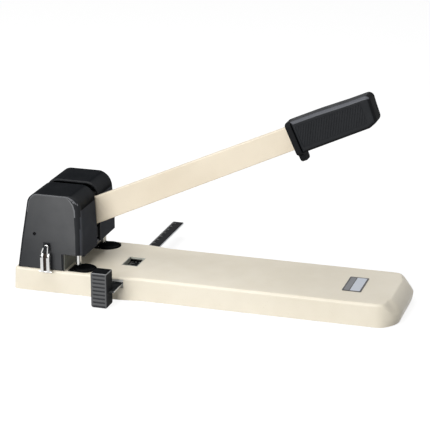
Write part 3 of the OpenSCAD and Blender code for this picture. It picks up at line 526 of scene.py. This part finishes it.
# Copies of the cover skin for painted light: the wrap is painted shade, the front face a painted
# reflection, the rim a painted highlight.
cover_wrap_shade = moulded("cover_wrap_shade", (20, 22, 25), (26, 28, 31), 0.5, SKIN, 0.04, 0.2, 0.004)
cover_front_lit = moulded("cover_front_lit", (58, 61, 68), (66, 69, 76), 0.55, SKIN, 0.04, 0.3, 0.012)
cover_rim_highlight = moulded("cover_rim_highlight", (66, 68, 72), (76, 78, 82), 0.5, SKIN, 0.02, 0.9, 0.02)
lip_painted_light = moulded("lip_painted_light", (206, 210, 202), (190, 194, 186), 0.5, FILM, 0.01)
gauge_highlight = moulded("gauge_highlight", (120, 121, 123), (104, 105, 107), 0.5, FINE, 0.02)
gauge_shade = moulded("gauge_shade", (22, 23, 25), (30, 31, 33), 0.6, FINE, 0.03, 0.1, 0.002)
gauge_groove = moulded("gauge_groove", (52, 53, 55), (60, 61, 63), 0.6, FINE, 0.03, 0.2, 0.004)
latch_shade = metal("latch_shade", (70, 62, 56), (40, 36, 33), 0.5)
plate_blue = moulded("plate_blue", (206, 212, 222), (192, 200, 214), 0.35, FILM, 0.01)

for obj in NODE.values():
    for slot in obj.material_slots:
        key = (slot.material.name if slot.material else "").split(".")[0]
        if key in MAT:
            slot.material = MAT[key]

# Parts made dark: the crosshead, seen only through the slot between the covers, is painted black as
# shade there; the cover screws and the latch strike take dark finishes.
DARK_NODES = {
    "cover_screws": MAT["disc_plastic"],
    "latch_strike": screw_black,
    "crosshead": screw_black,
}
for node, material in DARK_NODES.items():
    for slot in NODE[node].material_slots:
        slot.material = material

# ---------------------------------------------------------------- base
REAR_HALF, TABLE_HALF, REAR_Y, FRONT_Y = 58.5, 54.25, 72.5, -369.5
REAR_R, FRONT_R = 5.0, 26.0
JOG_Y, JOG_END = -50.0, -84.0
RIM_Z, WALL_DRAFT, WALL = 0.5, 1.1, 2
# Edge rounding of the sides, and what the front end adds to it.
EDGE_IN, EDGE_UP, FRONT_IN, FRONT_UP = 3.4, 3.2, 10.4, 10.5
FRONT_TUCK, FRONT_CHAMFER = 3, 0.55
FRONT_FROM, FRONT_SPAN = 0.2, 0.7
# Openings in the top; their cutters run from CUT_LOW to CUT_HIGH.
CUT_LOW, CUT_HIGH = 22, 30
DIE_X, DIE_Y, DIE_HOLE_R = 40, -7.4, 13.35
WINDOW = (-17.7, -62.0, 11.3, -42.8)
SLOT_LOW, SLOT_HIGH = (-60, -59.2, 14.4), (60, -43.2, 24.3)
POCKET_Z = BASE_TOP - 1.2
POCKET = [(24.8, -19.0, 13.0), (54.3, -19.0, 8.0), (54.3, 9.2, 3.0), (24.8, 9.2, 6.0)]


def base_outline():
    right = [(x, FRONT_Y) for x in (0.0, 6.0, 12.0, 18.0)]
    cy = FRONT_Y + FRONT_R
    right += arc(TABLE_HALF - FRONT_R, cy, FRONT_R, -90, 0, 16)
    for k in range(1, 22):
        right.append((TABLE_HALF, cy + (JOG_END - cy) * k / 22))
    for k in range(17):
        t = k / 16
        half = TABLE_HALF + (REAR_HALF - TABLE_HALF) * smooth(t)
        right.append((half, JOG_END + (JOG_Y - JOG_END) * t))
    for k in range(1, 6):
        right.append((REAR_HALF, JOG_Y + (REAR_Y - REAR_R - JOG_Y) * k / 6))
    right += arc(REAR_HALF - REAR_R, REAR_Y - REAR_R, REAR_R, 0, 90, 6)
    right += [(x, REAR_Y) for x in (36.0, 18.0)]
    left = [(-x, y) for x, y in reversed(right) if x > 0]
    return right + [(0.0, REAR_Y)] + left


def base_ring(outline, d, top, step):
    """One ring of the base skin, drawn in by d.

    step 0 to 1 runs up the wall, 1 to 2 over the edge. w is 0 on the sides and 1 at the front.
    """
    offs, heights = [], []
    for i in range(len(outline)):
        e = Vector(outline[(i + 1) % len(outline)]) - Vector(outline[i - 1])
        w = smooth((e.normalized().x - FRONT_FROM) / FRONT_SPAN)
        r_in, r_up, tuck = EDGE_IN + FRONT_IN * w, EDGE_UP + FRONT_UP * w, FRONT_TUCK * w
        if step <= 1:
            tucked = tuck * (1 - math.sin(rad(90 * step)))
            offs.append(d + tucked + WALL_DRAFT * (1 - w) * step)
            heights.append(RIM_Z + (top - r_up - RIM_Z) * step)
        else:
            g = rad(90 * (step - 1))
            straight, curved = w * FRONT_CHAMFER * (step - 1), 1 - FRONT_CHAMFER * w
            offs.append(d + WALL_DRAFT * (1 - w) + r_in * (curved * (1 - math.cos(g)) + straight))
            heights.append(top - r_up + r_up * (curved * math.sin(g) + straight))
    return [(x, y, z) for (x, y), z in zip(inset(outline, offs), heights)]


outline = base_outline()
climb = [0, 0.3, 0.6, 1] + [1 + k / 8 for k in range(1, 9)]
skin = [base_ring(outline, 0, BASE_TOP, u) for u in climb]
core = [base_ring(outline, WALL, BASE_TOP - WALL, u) for u in [-0.1] + climb[1:]]
base = stack("base_casting", skin)
inner = stack("base_core", core)
slots = block("side_slots", *SLOT_LOW, *SLOT_HIGH)
window_hole = block("window_hole", *WINDOW[:2], CUT_LOW, *WINDOW[2:], CUT_HIGH)
rings = [rod("ring_hole", (s * DIE_X, DIE_Y, CUT_LOW), (s * DIE_X, DIE_Y, CUT_HIGH),
             DIE_HOLE_R, 72) for s in (-1, 1)]
carve(base, [inner])
pockets = [slab("pocket", rounded([(s * x, y, r) for x, y, r in POCKET[::s]]), flat,
                POCKET_Z, CUT_HIGH) for s in (-1, 1)]
carve(base, [slots, window_hole] + pockets + rings)
# The pocket floors under the head take the black finish: painted shade where the head shades the
# table.
for face in base.data.polygons:
    c = face.center / MM
    face.material_index = 1 if abs(c.z - POCKET_Z) < 0.01 and face.normal.z > 0.9 else 0
finish_piece(base, "base", "cream_paint", ["base_shell"], 30, [MAT["cream_paint"], rail_black_and_table_shade])

# ---------------------------------------------------------------- head covers
HEAD_FRONT, HEAD_TOP, HEAD_REAR, LEAN = -9.9, 114.0, 67.5, rad(9)
SIDE_X, SLOT_X, DRAFT, DRAFT_Z = 56.5, 5.5, 3.2, 60.5
BROW_R, BROW_SET, BACK_R = 16.0, 1.6, 13.0
HEAD_LOW, BROW_FOOT = 18.0, BASE_TOP + 43.75
INNER_X, EDGE_DEPTH = 20, 0.85  # the draft starts outside INNER_X
SKIN_T, SKIN_GAP, SLOT_LIP = 2.4, 2.0, 1.8
# Throat under the head and the notch in each side, with what differs by side, -1 near, 1 far.
THROAT_X, CUT_FRONT, CUT_FOOT, CUT_SIDE = 48.0, -30, 20, 70.0
THROAT_BACK, THROAT_TOP = 12, {-1: 43.5, 1: 45}
NOTCH_BACK, NOTCH_TOP = {-1: 12, 1: 9.5}, {-1: 46.5, 1: 45}
SCREW_Y, SCREW_Z, SCREW_HOLE_R = 46, 67.5, 2.1
RIM_FROM = 92  # lowest height of the painted highlight rim on the side's edge
# How far the side's edge rounding reaches in, by the direction that the outline faces.
EDGE = {
    -1: [(0, 3.0), (45, 2.4), (80, 1.6), (90, 1.5), (106, 4.4), (126, 6.6), (165, 8.0), (180, 7.0)],
    1: [(0, 3.0), (45, 2.8), (80, 2.8), (90, 2.8), (106, 5.0), (126, 7.0), (165, 8.5), (180, 7.5)],
}


def head_outline():
    """(y, z) outline, counter-clockwise from the rear face's foot, run on below the base top."""
    bx = HEAD_FRONT + BROW_SET
    lean = math.tan(LEAN)
    cy = HEAD_REAR - lean * (HEAD_TOP - BACK_R - BASE_TOP) - BACK_R / math.cos(LEAN)
    cz = HEAD_TOP - BACK_R
    end = cz + BACK_R * math.sin(LEAN)
    pts = []
    for k in range(8):
        z = HEAD_LOW + (end - HEAD_LOW) * k / 8
        pts.append((HEAD_REAR - lean * (z - BASE_TOP), z))
    for k in range(9):
        g = LEAN + (rad(90) - LEAN) * k / 8
        pts.append((cy + BACK_R * math.cos(g), cz + BACK_R * math.sin(g)))
    for k in range(1, 6):
        pts.append((cy + (bx + BROW_R - cy) * k / 6, HEAD_TOP))
    pts += arc(bx + BROW_R, HEAD_TOP - BROW_R, BROW_R, 90, 180, 18)
    for k in range(1, 5):
        t = k / 4
        z = HEAD_TOP - BROW_R + (BROW_FOOT - HEAD_TOP + BROW_R) * t
        pts.append((bx + (HEAD_FRONT - bx) * t, z))
    for k in range(1, 6):
        pts.append((HEAD_FRONT, BROW_FOOT + (HEAD_LOW - BROW_FOOT) * k / 5))
    return pts


def facing(points):
    """Direction in degrees that the outline faces at each point: 0 rear, 90 up, 180 front."""
    out = []
    n = len(points)
    for i in range(n):
        a, b = Vector(points[i - 1]), Vector(points[(i + 1) % n])
        e = b - a
        g = math.degrees(math.atan2(-e.x, e.y))
        out.append(g if g > -20 else 180 if g < -150 else 0)
    return out


def head_shape(name, s, d, x_in, x_out, lip):
    """Half of the head on side s, drawn in by d, from x_in to x_out; lip rounds its inner edge."""
    pts = head_outline()
    reach = [max(between(g, EDGE[s]) - d, 0.6) for g in facing(pts)]
    low = min(z for _, z in pts)

    def ring(offs, xs):
        out = []
        for (y, z), x in zip(inset(pts, offs), xs):
            half = 1 - DRAFT / SIDE_X * min(max((z - DRAFT_Z) / (HEAD_TOP - DRAFT_Z), 0), 1)
            out.append((s * x * (half if x > INNER_X else 1), y, max(z, low)))
        return out

    rings = []
    if lip > 0:
        for k in range(4):
            g = rad(90 * k / 3)
            inward, depth = lip * (1 - math.sin(g)), lip * (1 - math.cos(g))
            rings.append(ring([d + inward] * len(pts), [x_in + depth] * len(pts)))
    else:
        rings.append(ring([d] * len(pts), [x_in] * len(pts)))
    for k in range(9):
        g = rad(90 * k / 8)
        rings.append(ring([d + a * (1 - math.cos(g)) for a in reach],
                          [x_out - EDGE_DEPTH * a + EDGE_DEPTH * a * math.sin(g) for a in reach]))
    shape = stack(name, rings)
    bm = bmesh.new()
    bm.from_mesh(shape.data)
    bmesh.ops.bisect_plane(bm, geom=bm.verts[:] + bm.edges[:] + bm.faces[:], dist=1e-7,
                           plane_co=(0, 0, DRAFT_Z * MM), plane_no=(0, 0, 1))
    bm.to_mesh(shape.data)
    bm.free()
    return shape


def head_tones(obj, s):
    """Tones by face: 0 side face, 1 wrap in painted shade, 2 front face painted lighter as a
    painted reflection of the floor, 3 painted highlight on the upper rim of the side face, 4 lip of
    the notch.
    """
    for face in obj.data.polygons:
        n, c = face.normal, face.center / MM
        up = min(max((c.z - DRAFT_Z) / (HEAD_TOP - DRAFT_Z), 0), 1)
        on_side = abs(c.x * s - SIDE_X + DRAFT * up) < 0.35
        off = math.hypot(n.y, n.z - (0.06 if c.z > DRAFT_Z else 0.0))
        if face.material_index == 4:
            continue
        if n.x * s > 0.9 and off < 0.035 and on_side:
            face.material_index = 0
        elif n.x * s > 0.7 and c.z > RIM_FROM and n.y < 0.3 and off < (0.13 if n.z < 0.3 else 0.7):
            face.material_index = 3
        elif n.y < -0.5 and c.y < HEAD_FRONT + 2.2 and c.z < HEAD_TOP - BROW_R:
            face.material_index = 2
        else:
            face.material_index = 1


def cover(side, s):
    shell = head_shape(side + "_cover_skin", s, 0, SLOT_X, SIDE_X, SLOT_LIP)
    hollow = head_shape("hollow", s, SKIN_T, SLOT_X - SKIN_GAP, SIDE_X - SKIN_GAP, 0)
    foot = block("foot", -70, -30, 0, 70, 90, BASE_TOP)
    lo, hi = sorted((0, s * THROAT_X))
    throat = block("throat", lo, CUT_FRONT, CUT_FOOT, hi, THROAT_BACK, THROAT_TOP[s])
    lo, hi = sorted((s * THROAT_X, s * CUT_SIDE))
    notch = block("notch", lo, CUT_FRONT, CUT_FOOT, hi, NOTCH_BACK[s], NOTCH_TOP[s])
    hole = rod("hole", (s * 50, SCREW_Y, SCREW_Z), (s * 60, SCREW_Y, SCREW_Z), SCREW_HOLE_R)
    cuts = [hollow, foot, throat, notch, hole]
    if s < 0:
        cuts.append(block("shadow_line", -58, 12.5, CUT_FOOT, -55.2, 14.1, NOTCH_TOP[s]))
        cuts.append(block("foot_line", -58, 12.5, CUT_FOOT, -55.6, 70, BASE_TOP + 1.1))
    carve(shell, cuts)
    if s < 0:
        # The lip is painted pale so that it shows lit inside the notch's shade: painted light.
        lip = block("notch_lip", -56.3, 12.0, BASE_TOP, -51.6, 12.5, 46.4)
        for face in lip.data.polygons:
            face.material_index = 4
        shell = merge(side + "_cover_skin", [shell, lip])
    head_tones(shell, s)
    return finish_piece(shell, "base", "cover_paint", [side + "_cover"], 30,
                        [MAT["cover_paint"], cover_wrap_shade, cover_front_lit, cover_rim_highlight, lip_painted_light])


cover("near", -1)
cover("far", 1)

# ---------------------------------------------------------------- lever
BAR_END, BAR_HALF, BAR_TIP = 385.0, 15.0, 12.8
HUB_R, RIVET_AT, RIVET_T, RIVET_R, PAST = 8.0, (20, 32), 3.5, 2.5, 9
bar = [(0, -BAR_HALF), (BAR_END, -BAR_TIP), (BAR_END, BAR_TIP), (0, BAR_HALF)]
bar += arc(0, 0, BAR_HALF, 90, 270, 24)[1:-1]
bar = slab("lever_blade", bar, on_lever, -4.5, 4.5, 1.1)
hub = rod("hub", on_lever(0, 0, -PAST), on_lever(0, 0, PAST), HUB_R)
rivets = [rod("rivet", on_lever(q, RIVET_T, -PAST), on_lever(q, RIVET_T, PAST), RIVET_R, 24)
          for q in RIVET_AT]
carve(bar, [hub] + rivets)
finish_piece(bar, "lever", "lever_paint", ["lever_bar"])

GRIP_W = 13.0
RIB_PITCH, RIB_LEAN, RIB_HALF, RIB_REACH = 3.1, math.tan(rad(29)), 1.0, 13.5
RIB_START, RIB_COUNT = 300.0, 32
grip_line = rounded([(305, -18.4, 0), (385, -17.9, 8), (395.6, -14.0, 6), (397, 4, 10),
                     (398.4, 16.6, 6), (371, 16.9, 12), (338, 18.2, 30), (305, 18.4, 0)], 7)
grip = slab("grip_body", grip_line, on_lever, -GRIP_W, GRIP_W, 4.2, 4.2, 7)
panel = rounded([(309, -12.6, 2.5), (388, -12.2, 4), (390, 11.6, 4), (309, 12.6, 2.5)], 5)
pockets = [slab("pocket", panel, on_lever, *sorted((s * 12.4, s * 15.0))) for s in (-1, 1)]
carve(grip, pockets)
rib_field = rounded([(310.2, -11.4, 1.5), (385.5, -11.0, 2.5), (386.5, 10.4, 2.5),
                     (310.2, 11.4, 1.5)], 5)
ribs = []
for s in (-1, 1):
    bars = []
    lo, hi = sorted((s * 12.2, s * 12.9))
    for k in range(RIB_COUNT):
        q = RIB_START + k * RIB_PITCH
        (q0, t0), (q1, t1) = [(q + RIB_LEAN * t, t) for t in (-RIB_REACH, RIB_REACH)]
        line = [(q0 - RIB_HALF, t0), (q0 + RIB_HALF, t0), (q1 + RIB_HALF, t1), (q1 - RIB_HALF, t1)]
        r_lo, r_hi = (0.35, 0.0) if s < 0 else (0.0, 0.35)
        bars.append(slab("rib", line, on_lever, lo, hi, r_lo, r_hi, 3))
    bars = merge("ribs", bars)
    field = slab("rib_field", rib_field, on_lever, *sorted((s * 11.9, s * 13.5)))
    ribs.append(carve(bars, [field], "INTERSECT"))
# Grip tones by face direction: 1 painted highlight along the upper edges, 2 painted shade on the
# front end and underside, 0 the grip's own black.
for face in grip.data.polygons:
    n = face.normal
    ahead = -n.y * math.cos(TILT) + n.z * math.sin(TILT)
    over = n.y * math.sin(TILT) + n.z * math.cos(TILT)
    if over > 0.25 and abs(n.x) > 0.25:
        face.material_index = 1
    else:
        face.material_index = 2 if ahead > 0.45 or over < -0.45 else 0
grip = merge("grip_body", [grip] + ribs)
finish_piece(grip, "lever", "grip_plastic", ["grip"],
             mats=[MAT["grip_plastic"], grip_highlight, grip_dark_and_shade])

collar = rounded([(-13.4, -18.2, 4), (-8.2, -20.5, 3), (-8, -28, 4), (8, -28, 4),
                  (8.2, -20.5, 3), (13.4, -18.2, 4), (13.4, 18.4, 5), (-13.4, 18.4, 5)], 6)
collar = slab("grip_guard", collar, lambda u, v, w: on_lever(w, v, u), 298, 305.2, 2.0, 0.8)
socket_line = [(295, -13.2), (312, -13.1), (312, 13.1), (295, 13.2)]
carve(collar, [slab("socket", socket_line, on_lever, -4.6, 4.6)])
finish_piece(collar, "lever", "grip_plastic", ["grip_collar"], mats=[grip_dark_and_shade])

# ---------------------------------------------------------------- table pieces
DISC_TOP, DISC_FOOT, DISC_R = 28.4, 24.5, 11.5
disc_profile = [
    (0, DISC_FOOT), (11.4, DISC_FOOT), (DISC_R, 24.7), (DISC_R, DISC_TOP - 1.0),
    (11.2, DISC_TOP - 0.4), (10.6, DISC_TOP - 0.05), (9.0, DISC_TOP), (8.7, DISC_TOP - 0.25),
    (8.2, DISC_TOP - 0.25), (7.9, DISC_TOP), (0, DISC_TOP),
]
pin_profile = [(0, 19.5), (2.3, 19.5), (2.5, 19.8), (2.5, DISC_FOOT), (0, DISC_FOOT)]
seat_profile = [(11.6, DISC_FOOT), (13.0, DISC_FOOT), (13.0, 26.9), (12.7, 27.2), (11.9, 27.2),
                (11.6, 26.9)]
for side, s in (("near", -1), ("far", 1)):
    centre = (s * DIE_X, DIE_Y)
    disc = lathe(side + "_die", disc_profile, centre)
    pin = lathe("pin", pin_profile, centre, 40)
    die = merge(side + "_die", [disc, pin])
    finish_piece(die, side + "_disc", "disc_plastic", [side + "_disc"])
    ring = lathe(side + "_die_seat", seat_profile, centre)
    finish_piece(ring, "base", "ring_plastic", [side + "_disc_ring"])

BLOCK = (-88.5, -51.7, 0.5, -70.5, -32.7, 41.0)
GROOVES, GROOVE_FOOT, GROOVE_PITCH = 9, 2.0, 4.5
GROOVE_HALF, GROOVE_INSET, GROOVE_DEPTH = 0.95, 2, 0.6
block_line = rounded([(BLOCK[1], BLOCK[2], 2.5), (BLOCK[4], BLOCK[2], 2.5),
                      (BLOCK[4], BLOCK[5], 1.2), (BLOCK[1], BLOCK[5], 1.2)])
gauge = slab("gauge_stop_block", block_line, across, BLOCK[0], BLOCK[3], 1.1)
cuts = []
for i in range(GROOVES):
    z = BLOCK[2] + GROOVE_FOOT + i * GROOVE_PITCH
    groove_line = box_outline(BLOCK[1] + GROOVE_INSET, z - GROOVE_HALF,
                              BLOCK[4] - GROOVE_INSET, z + GROOVE_HALF, 0.9)
    cuts.append(slab("cut", groove_line, across, BLOCK[0] - 1, BLOCK[0] + GROOVE_DEPTH))
carve(gauge, [merge("cuts", cuts), block("bar_slot", -83.15, -60, 18, -60, -35.5, 20)])
# Block tones by face direction: 1 painted highlight on the rounded top edges, 2 painted shade on
# the top and the vertical edge rounding, 3 grooves in the block's grey with less sheen, 0 the
# block's own grey.
for face in gauge.data.polygons:
    n, c = face.normal, face.center / MM
    bright = n.z > 0.25 and (n.x < -0.25 or n.y < -0.25)
    groove = BLOCK[0] + 0.3 < c.x < BLOCK[0] + 1.0 and n.x < -0.5 and c.z < 40
    dark = n.z > 0.9 or (n.x < -0.25 and abs(n.y) > 0.25)
    face.material_index = 1 if bright else 2 if dark else 3 if groove else 0
finish_piece(gauge, "gauge", "gauge_plastic", ["gauge_block"],
             mats=[MAT["gauge_plastic"], gauge_highlight, gauge_shade, gauge_groove])

RAIL_LOW, RAIL_TOP = 18, 20
bar_line = rounded([(-83, -58.2, 1), (163, -58.2, 2), (163, -44.2, 2), (-72.5, -44.2, 0.5),
                    (-72.5, -35.7, 1), (-83, -35.7, 1)], 5)
rail = slab("gauge_rail", bar_line, flat, RAIL_LOW, RAIL_TOP, 0.3)
for face in rail.data.polygons:
    n = face.normal
    face.material_index = 0 if n.y < -0.5 or n.x > 0.5 or n.z < -0.5 else 1
finish_piece(rail, "gauge", "zinc", ["gauge_bar"], mats=[MAT["zinc"], rail_black_and_table_shade])
strip_line = box_outline(-68.5, -57.6, 162, TICK_TOP, 1.2)
strip = slab("gauge_strip", strip_line, flat, RAIL_TOP, 20.3, 0.0, 0.12)
finish_piece(strip, "gauge", "scale_film", ["gauge_scale"])

outer = box_outline(-17.55, -61.85, 11.15, -42.95, 0.8)
bezel = slab("window_frame", outer, flat, 21, 26.6, 0.0, 0.3)
carve(bezel, [slab("hole", box_outline(-16.75, -61.05, 10.35, -43.75, 0.6), flat, 19, 28),
              block("under_rim", -20, -61.05, 19, 14, -43.75, 24.5)])
# The frame is painted a darker grey than its white plastic, as the shade inside the window.
finish_piece(bezel, "base", "guide_plastic", ["window_bezel"], mats=[bezel_shaded_grey])

TAG = (-22.0, -321.25, 22.0, -299.75)
TAG_FIELDS = ((-20.0, -307.4, 20.0, -301.6), (-20.0, -319.4, 20.0, -308.4))
tag = slab("front_tag", box_outline(*TAG, 1.6), flat, BASE_TOP, 26.9, 0.0, 0.12)
fields = [slab("field", box_outline(*f, 0.8), flat, 26.8, 26.96, 0.0, 0.06) for f in TAG_FIELDS]
for tone, field in enumerate(fields, 1):
    for face in field.data.polygons:
        face.material_index = tone
finish_piece(merge("front_tag", [tag] + fields), "base", "plate_film", ["front_plate"],
             mats=[plate_black, plate_grey, plate_blue])

# ---------------------------------------------------------------- latch
LATCH_Y, LATCH_X, HOOK_Z = 31.2, -62.1, 44.5
LOOP_TOP, LOOP_R, STUB_R = 57.1, 0.75, 0.8
ARMS = (4.4, -2.6)  # the loop's two arms, from LATCH_Y
flange = rounded([(-64.5, 27.6, 1.2), (-63.6, 25.0, 1.4), (-60.6, 25.0, 1.4), (-60.0, 27.6, 1.2),
                  (-60.0, 48, 1.6), (-63.0, 48, 1.6), (-64.5, 45.2, 2.0)], 5)
web_line = box_outline(-61.4, 25.2, -60.2, 46.8, 0.4)
web = slab("web", web_line, upright, LATCH_Y - 2.2, LATCH_Y + 2.2)
# The web between the flanges is painted dark brown as the shade in the gap.
for face in web.data.polygons:
    face.material_index = 1
sides = [slab("flange", flange, upright, LATCH_Y + a, LATCH_Y + b, 0.6)
         for a, b in ((-5.5, -1.7), (1.9, 5.5))]
notches = [block("notch", -66, LATCH_Y + q - 1.0, HOOK_Z - 1.5, -58, LATCH_Y + q + 1.0, 50)
           for q in ARMS]
leaf = carve(merge("flanges", sides), [merge("notches", notches)])
finish_piece(merge("latch_handle", [leaf, web]), "latch", "bright_steel", ["latch_lever"],
             mats=[MAT["bright_steel"], latch_shade])

lug = rounded([(-63.6, 25.0, 1.2), (-58.5, 24.6, 0.6), (-58.5, 28.4, 0.6), (-62.0, 28.4, 1.4)], 5)
seat = rounded([(-59.7, 24.4, 0.3), (-58.5, 24.4, 0.3), (-58.5, 28.5, 0.3),
                (-59.7, 28.5, 0.3)], 3)
# The bracket, inside the handle, is painted dark as shade.
bracket = merge("latch_bracket", [
    slab("lug", lug, upright, LATCH_Y - 1.5, LATCH_Y + 1.6, 0.3),
    slab("seat", seat, upright, LATCH_Y - 5.2, LATCH_Y + 5.2, 0.3)])
finish_piece(bracket, "base", "bright_steel", ["latch_bracket"], mats=[latch_shade])


def bend(points, r, n=6):
    """Path with its corners turned on arcs."""
    out = [points[0]]
    for i in range(1, len(points) - 1):
        p, c, q = (Vector(points[i + k]) for k in (-1, 0, 1))
        a, b = c + (p - c).normalized() * r, c + (q - c).normalized() * r
        for k in range(n + 1):
            t = k / n
            out.append(tuple(a * (1 - t) ** 2 + c * 2 * t * (1 - t) + b * t * t))
    return out + [points[-1]]


LOOP_X, STRAIGHT_Z = LATCH_X + 1.0, HOOK_Z + 3.5
hook = bend([(LATCH_X, LATCH_Y + ARMS[0], HOOK_Z), (LATCH_X, LATCH_Y + ARMS[0], STRAIGHT_Z),
             (LOOP_X, LATCH_Y + 1.9, 55.2), (LOOP_X, LATCH_Y - 0.4, LOOP_TOP),
             (LOOP_X, LATCH_Y - 2.9, LOOP_TOP - 0.4), (LATCH_X, LATCH_Y + ARMS[1], STRAIGHT_Z),
             (LATCH_X, LATCH_Y + ARMS[1], HOOK_Z)], 1.1)
loop = wire("latch_loop", hook, LOOP_R)
stubs = [wire("stub", [(LATCH_X, LATCH_Y + q, HOOK_Z) for q in span], STUB_R)
         for span in ((-5.3, -4.0, -2.6), (2.8, 4.0, 5.3))]
finish_piece(merge("latch_loop", [loop] + stubs), "hook", "bright_steel", ["latch_hook"])

# ---------------------------------------------------------------- floor, light, camera
CAMERA_AT = (-1772.8, -698.3, 715.3)
CAMERA_AZ, CAMERA_EL, LENS, SENSOR = rad(-72.77), rad(18.59), 147.1, 36.0
FLOOR = 6000
FLOOR_GREY, SEEN_GREY, SEEN_LIFT = 0.55, 0.28, 0.86  # the floor as lit, and as the camera sees it
WORLD_FILL = 0.2
AIM = (0, -0.12, 0.05)
KEY_AT, KEY_SIZE, KEY_WATTS = (-2.4, 0.6, 0.8), 1.4, 46
OVERHEAD_AT, OVERHEAD_SIZE, OVERHEAD_WATTS = (-0.2, 0.2, 2.0), 1.6, 22.5

floor = make("floor", [(-FLOOR, -FLOOR, 0), (FLOOR, -FLOOR, 0), (FLOOR, FLOOR, 0),
                       (-FLOOR, FLOOR, 0)], [(0, 1, 2, 3)])
paper = bpy.data.materials.new("floor_paper")
paper.use_nodes = True
tree = paper.node_tree
tree.nodes.clear()


def shader(kind, **inputs):
    node = tree.nodes.new(kind)
    for key, value in inputs.items():
        node.inputs[key].default_value = value
    return node


def add(a, b):
    node = tree.nodes.new("ShaderNodeMath")
    node.operation, node.use_clamp = "ADD", True
    tree.links.new(a, node.inputs[0])
    tree.links.new(b, node.inputs[1])
    return node.outputs[0]


def seen_rays():
    """1 for the rays that show the background: camera, glossy and transmission rays."""
    rays = tree.nodes.new("ShaderNodeLightPath").outputs
    return add(add(rays["Is Camera Ray"], rays["Is Glossy Ray"]), rays["Is Transmission Ray"])


real = shader("ShaderNodeBsdfDiffuse", Color=(FLOOR_GREY, FLOOR_GREY, FLOOR_GREY, 1))
seen = shader("ShaderNodeBsdfDiffuse", Color=(SEEN_GREY, SEEN_GREY, SEEN_GREY, 1))
lift = shader("ShaderNodeEmission", Strength=SEEN_LIFT)
both = tree.nodes.new("ShaderNodeAddShader")
pick = tree.nodes.new("ShaderNodeMixShader")
out = tree.nodes.new("ShaderNodeOutputMaterial")
tree.links.new(seen.outputs[0], both.inputs[0])
tree.links.new(lift.outputs[0], both.inputs[1])
tree.links.new(real.outputs[0], pick.inputs[1])
tree.links.new(both.outputs[0], pick.inputs[2])
tree.links.new(seen_rays(), pick.inputs[0])
tree.links.new(pick.outputs[0], out.inputs["Surface"])
floor.data.materials.append(paper)

world = bpy.data.worlds.new("studio")
bpy.context.scene.world = world
world.use_nodes = True
tree = world.node_tree
tree.nodes.clear()
fill = shader("ShaderNodeBackground", Color=(1, 1, 1, 1), Strength=WORLD_FILL)
white = shader("ShaderNodeBackground", Color=(1, 1, 1, 1), Strength=1.0)
pick = tree.nodes.new("ShaderNodeMixShader")
out = tree.nodes.new("ShaderNodeOutputWorld")
tree.links.new(seen_rays(), pick.inputs[0])
tree.links.new(fill.outputs[0], pick.inputs[1])
tree.links.new(white.outputs[0], pick.inputs[2])
tree.links.new(pick.outputs[0], out.inputs["Surface"])


def lamp(name, at, size, watts):
    data = bpy.data.lights.new(name, "AREA")
    data.shape, data.size, data.energy = "SQUARE", size, watts
    obj = bpy.data.objects.new(name, data)
    bpy.context.scene.collection.objects.link(obj)
    obj.location = at
    obj.rotation_euler = (Vector(AIM) - Vector(at)).to_track_quat("-Z", "Y").to_euler()


lamp("key", KEY_AT, KEY_SIZE, KEY_WATTS)
lamp("overhead", OVERHEAD_AT, OVERHEAD_SIZE, OVERHEAD_WATTS)

data = bpy.data.cameras.new("camera")
data.lens, data.sensor_width, data.sensor_fit = LENS, SENSOR, "HORIZONTAL"
data.clip_start, data.clip_end = 0.05, 50
camera = bpy.data.objects.new("camera", data)
bpy.context.scene.collection.objects.link(camera)
back = Vector((math.sin(CAMERA_AZ) * math.cos(CAMERA_EL),
               -math.cos(CAMERA_AZ) * math.cos(CAMERA_EL), math.sin(CAMERA_EL)))
right = Vector((math.cos(CAMERA_AZ), math.sin(CAMERA_AZ), 0))
up = back.cross(right)
turned = Matrix((right, up, back)).transposed().to_4x4()
camera.matrix_world = Matrix.Translation(Vector(CAMERA_AT) * MM) @ turned
bpy.context.scene.camera = camera
bpy.context.scene.view_settings.view_transform = "Standard"
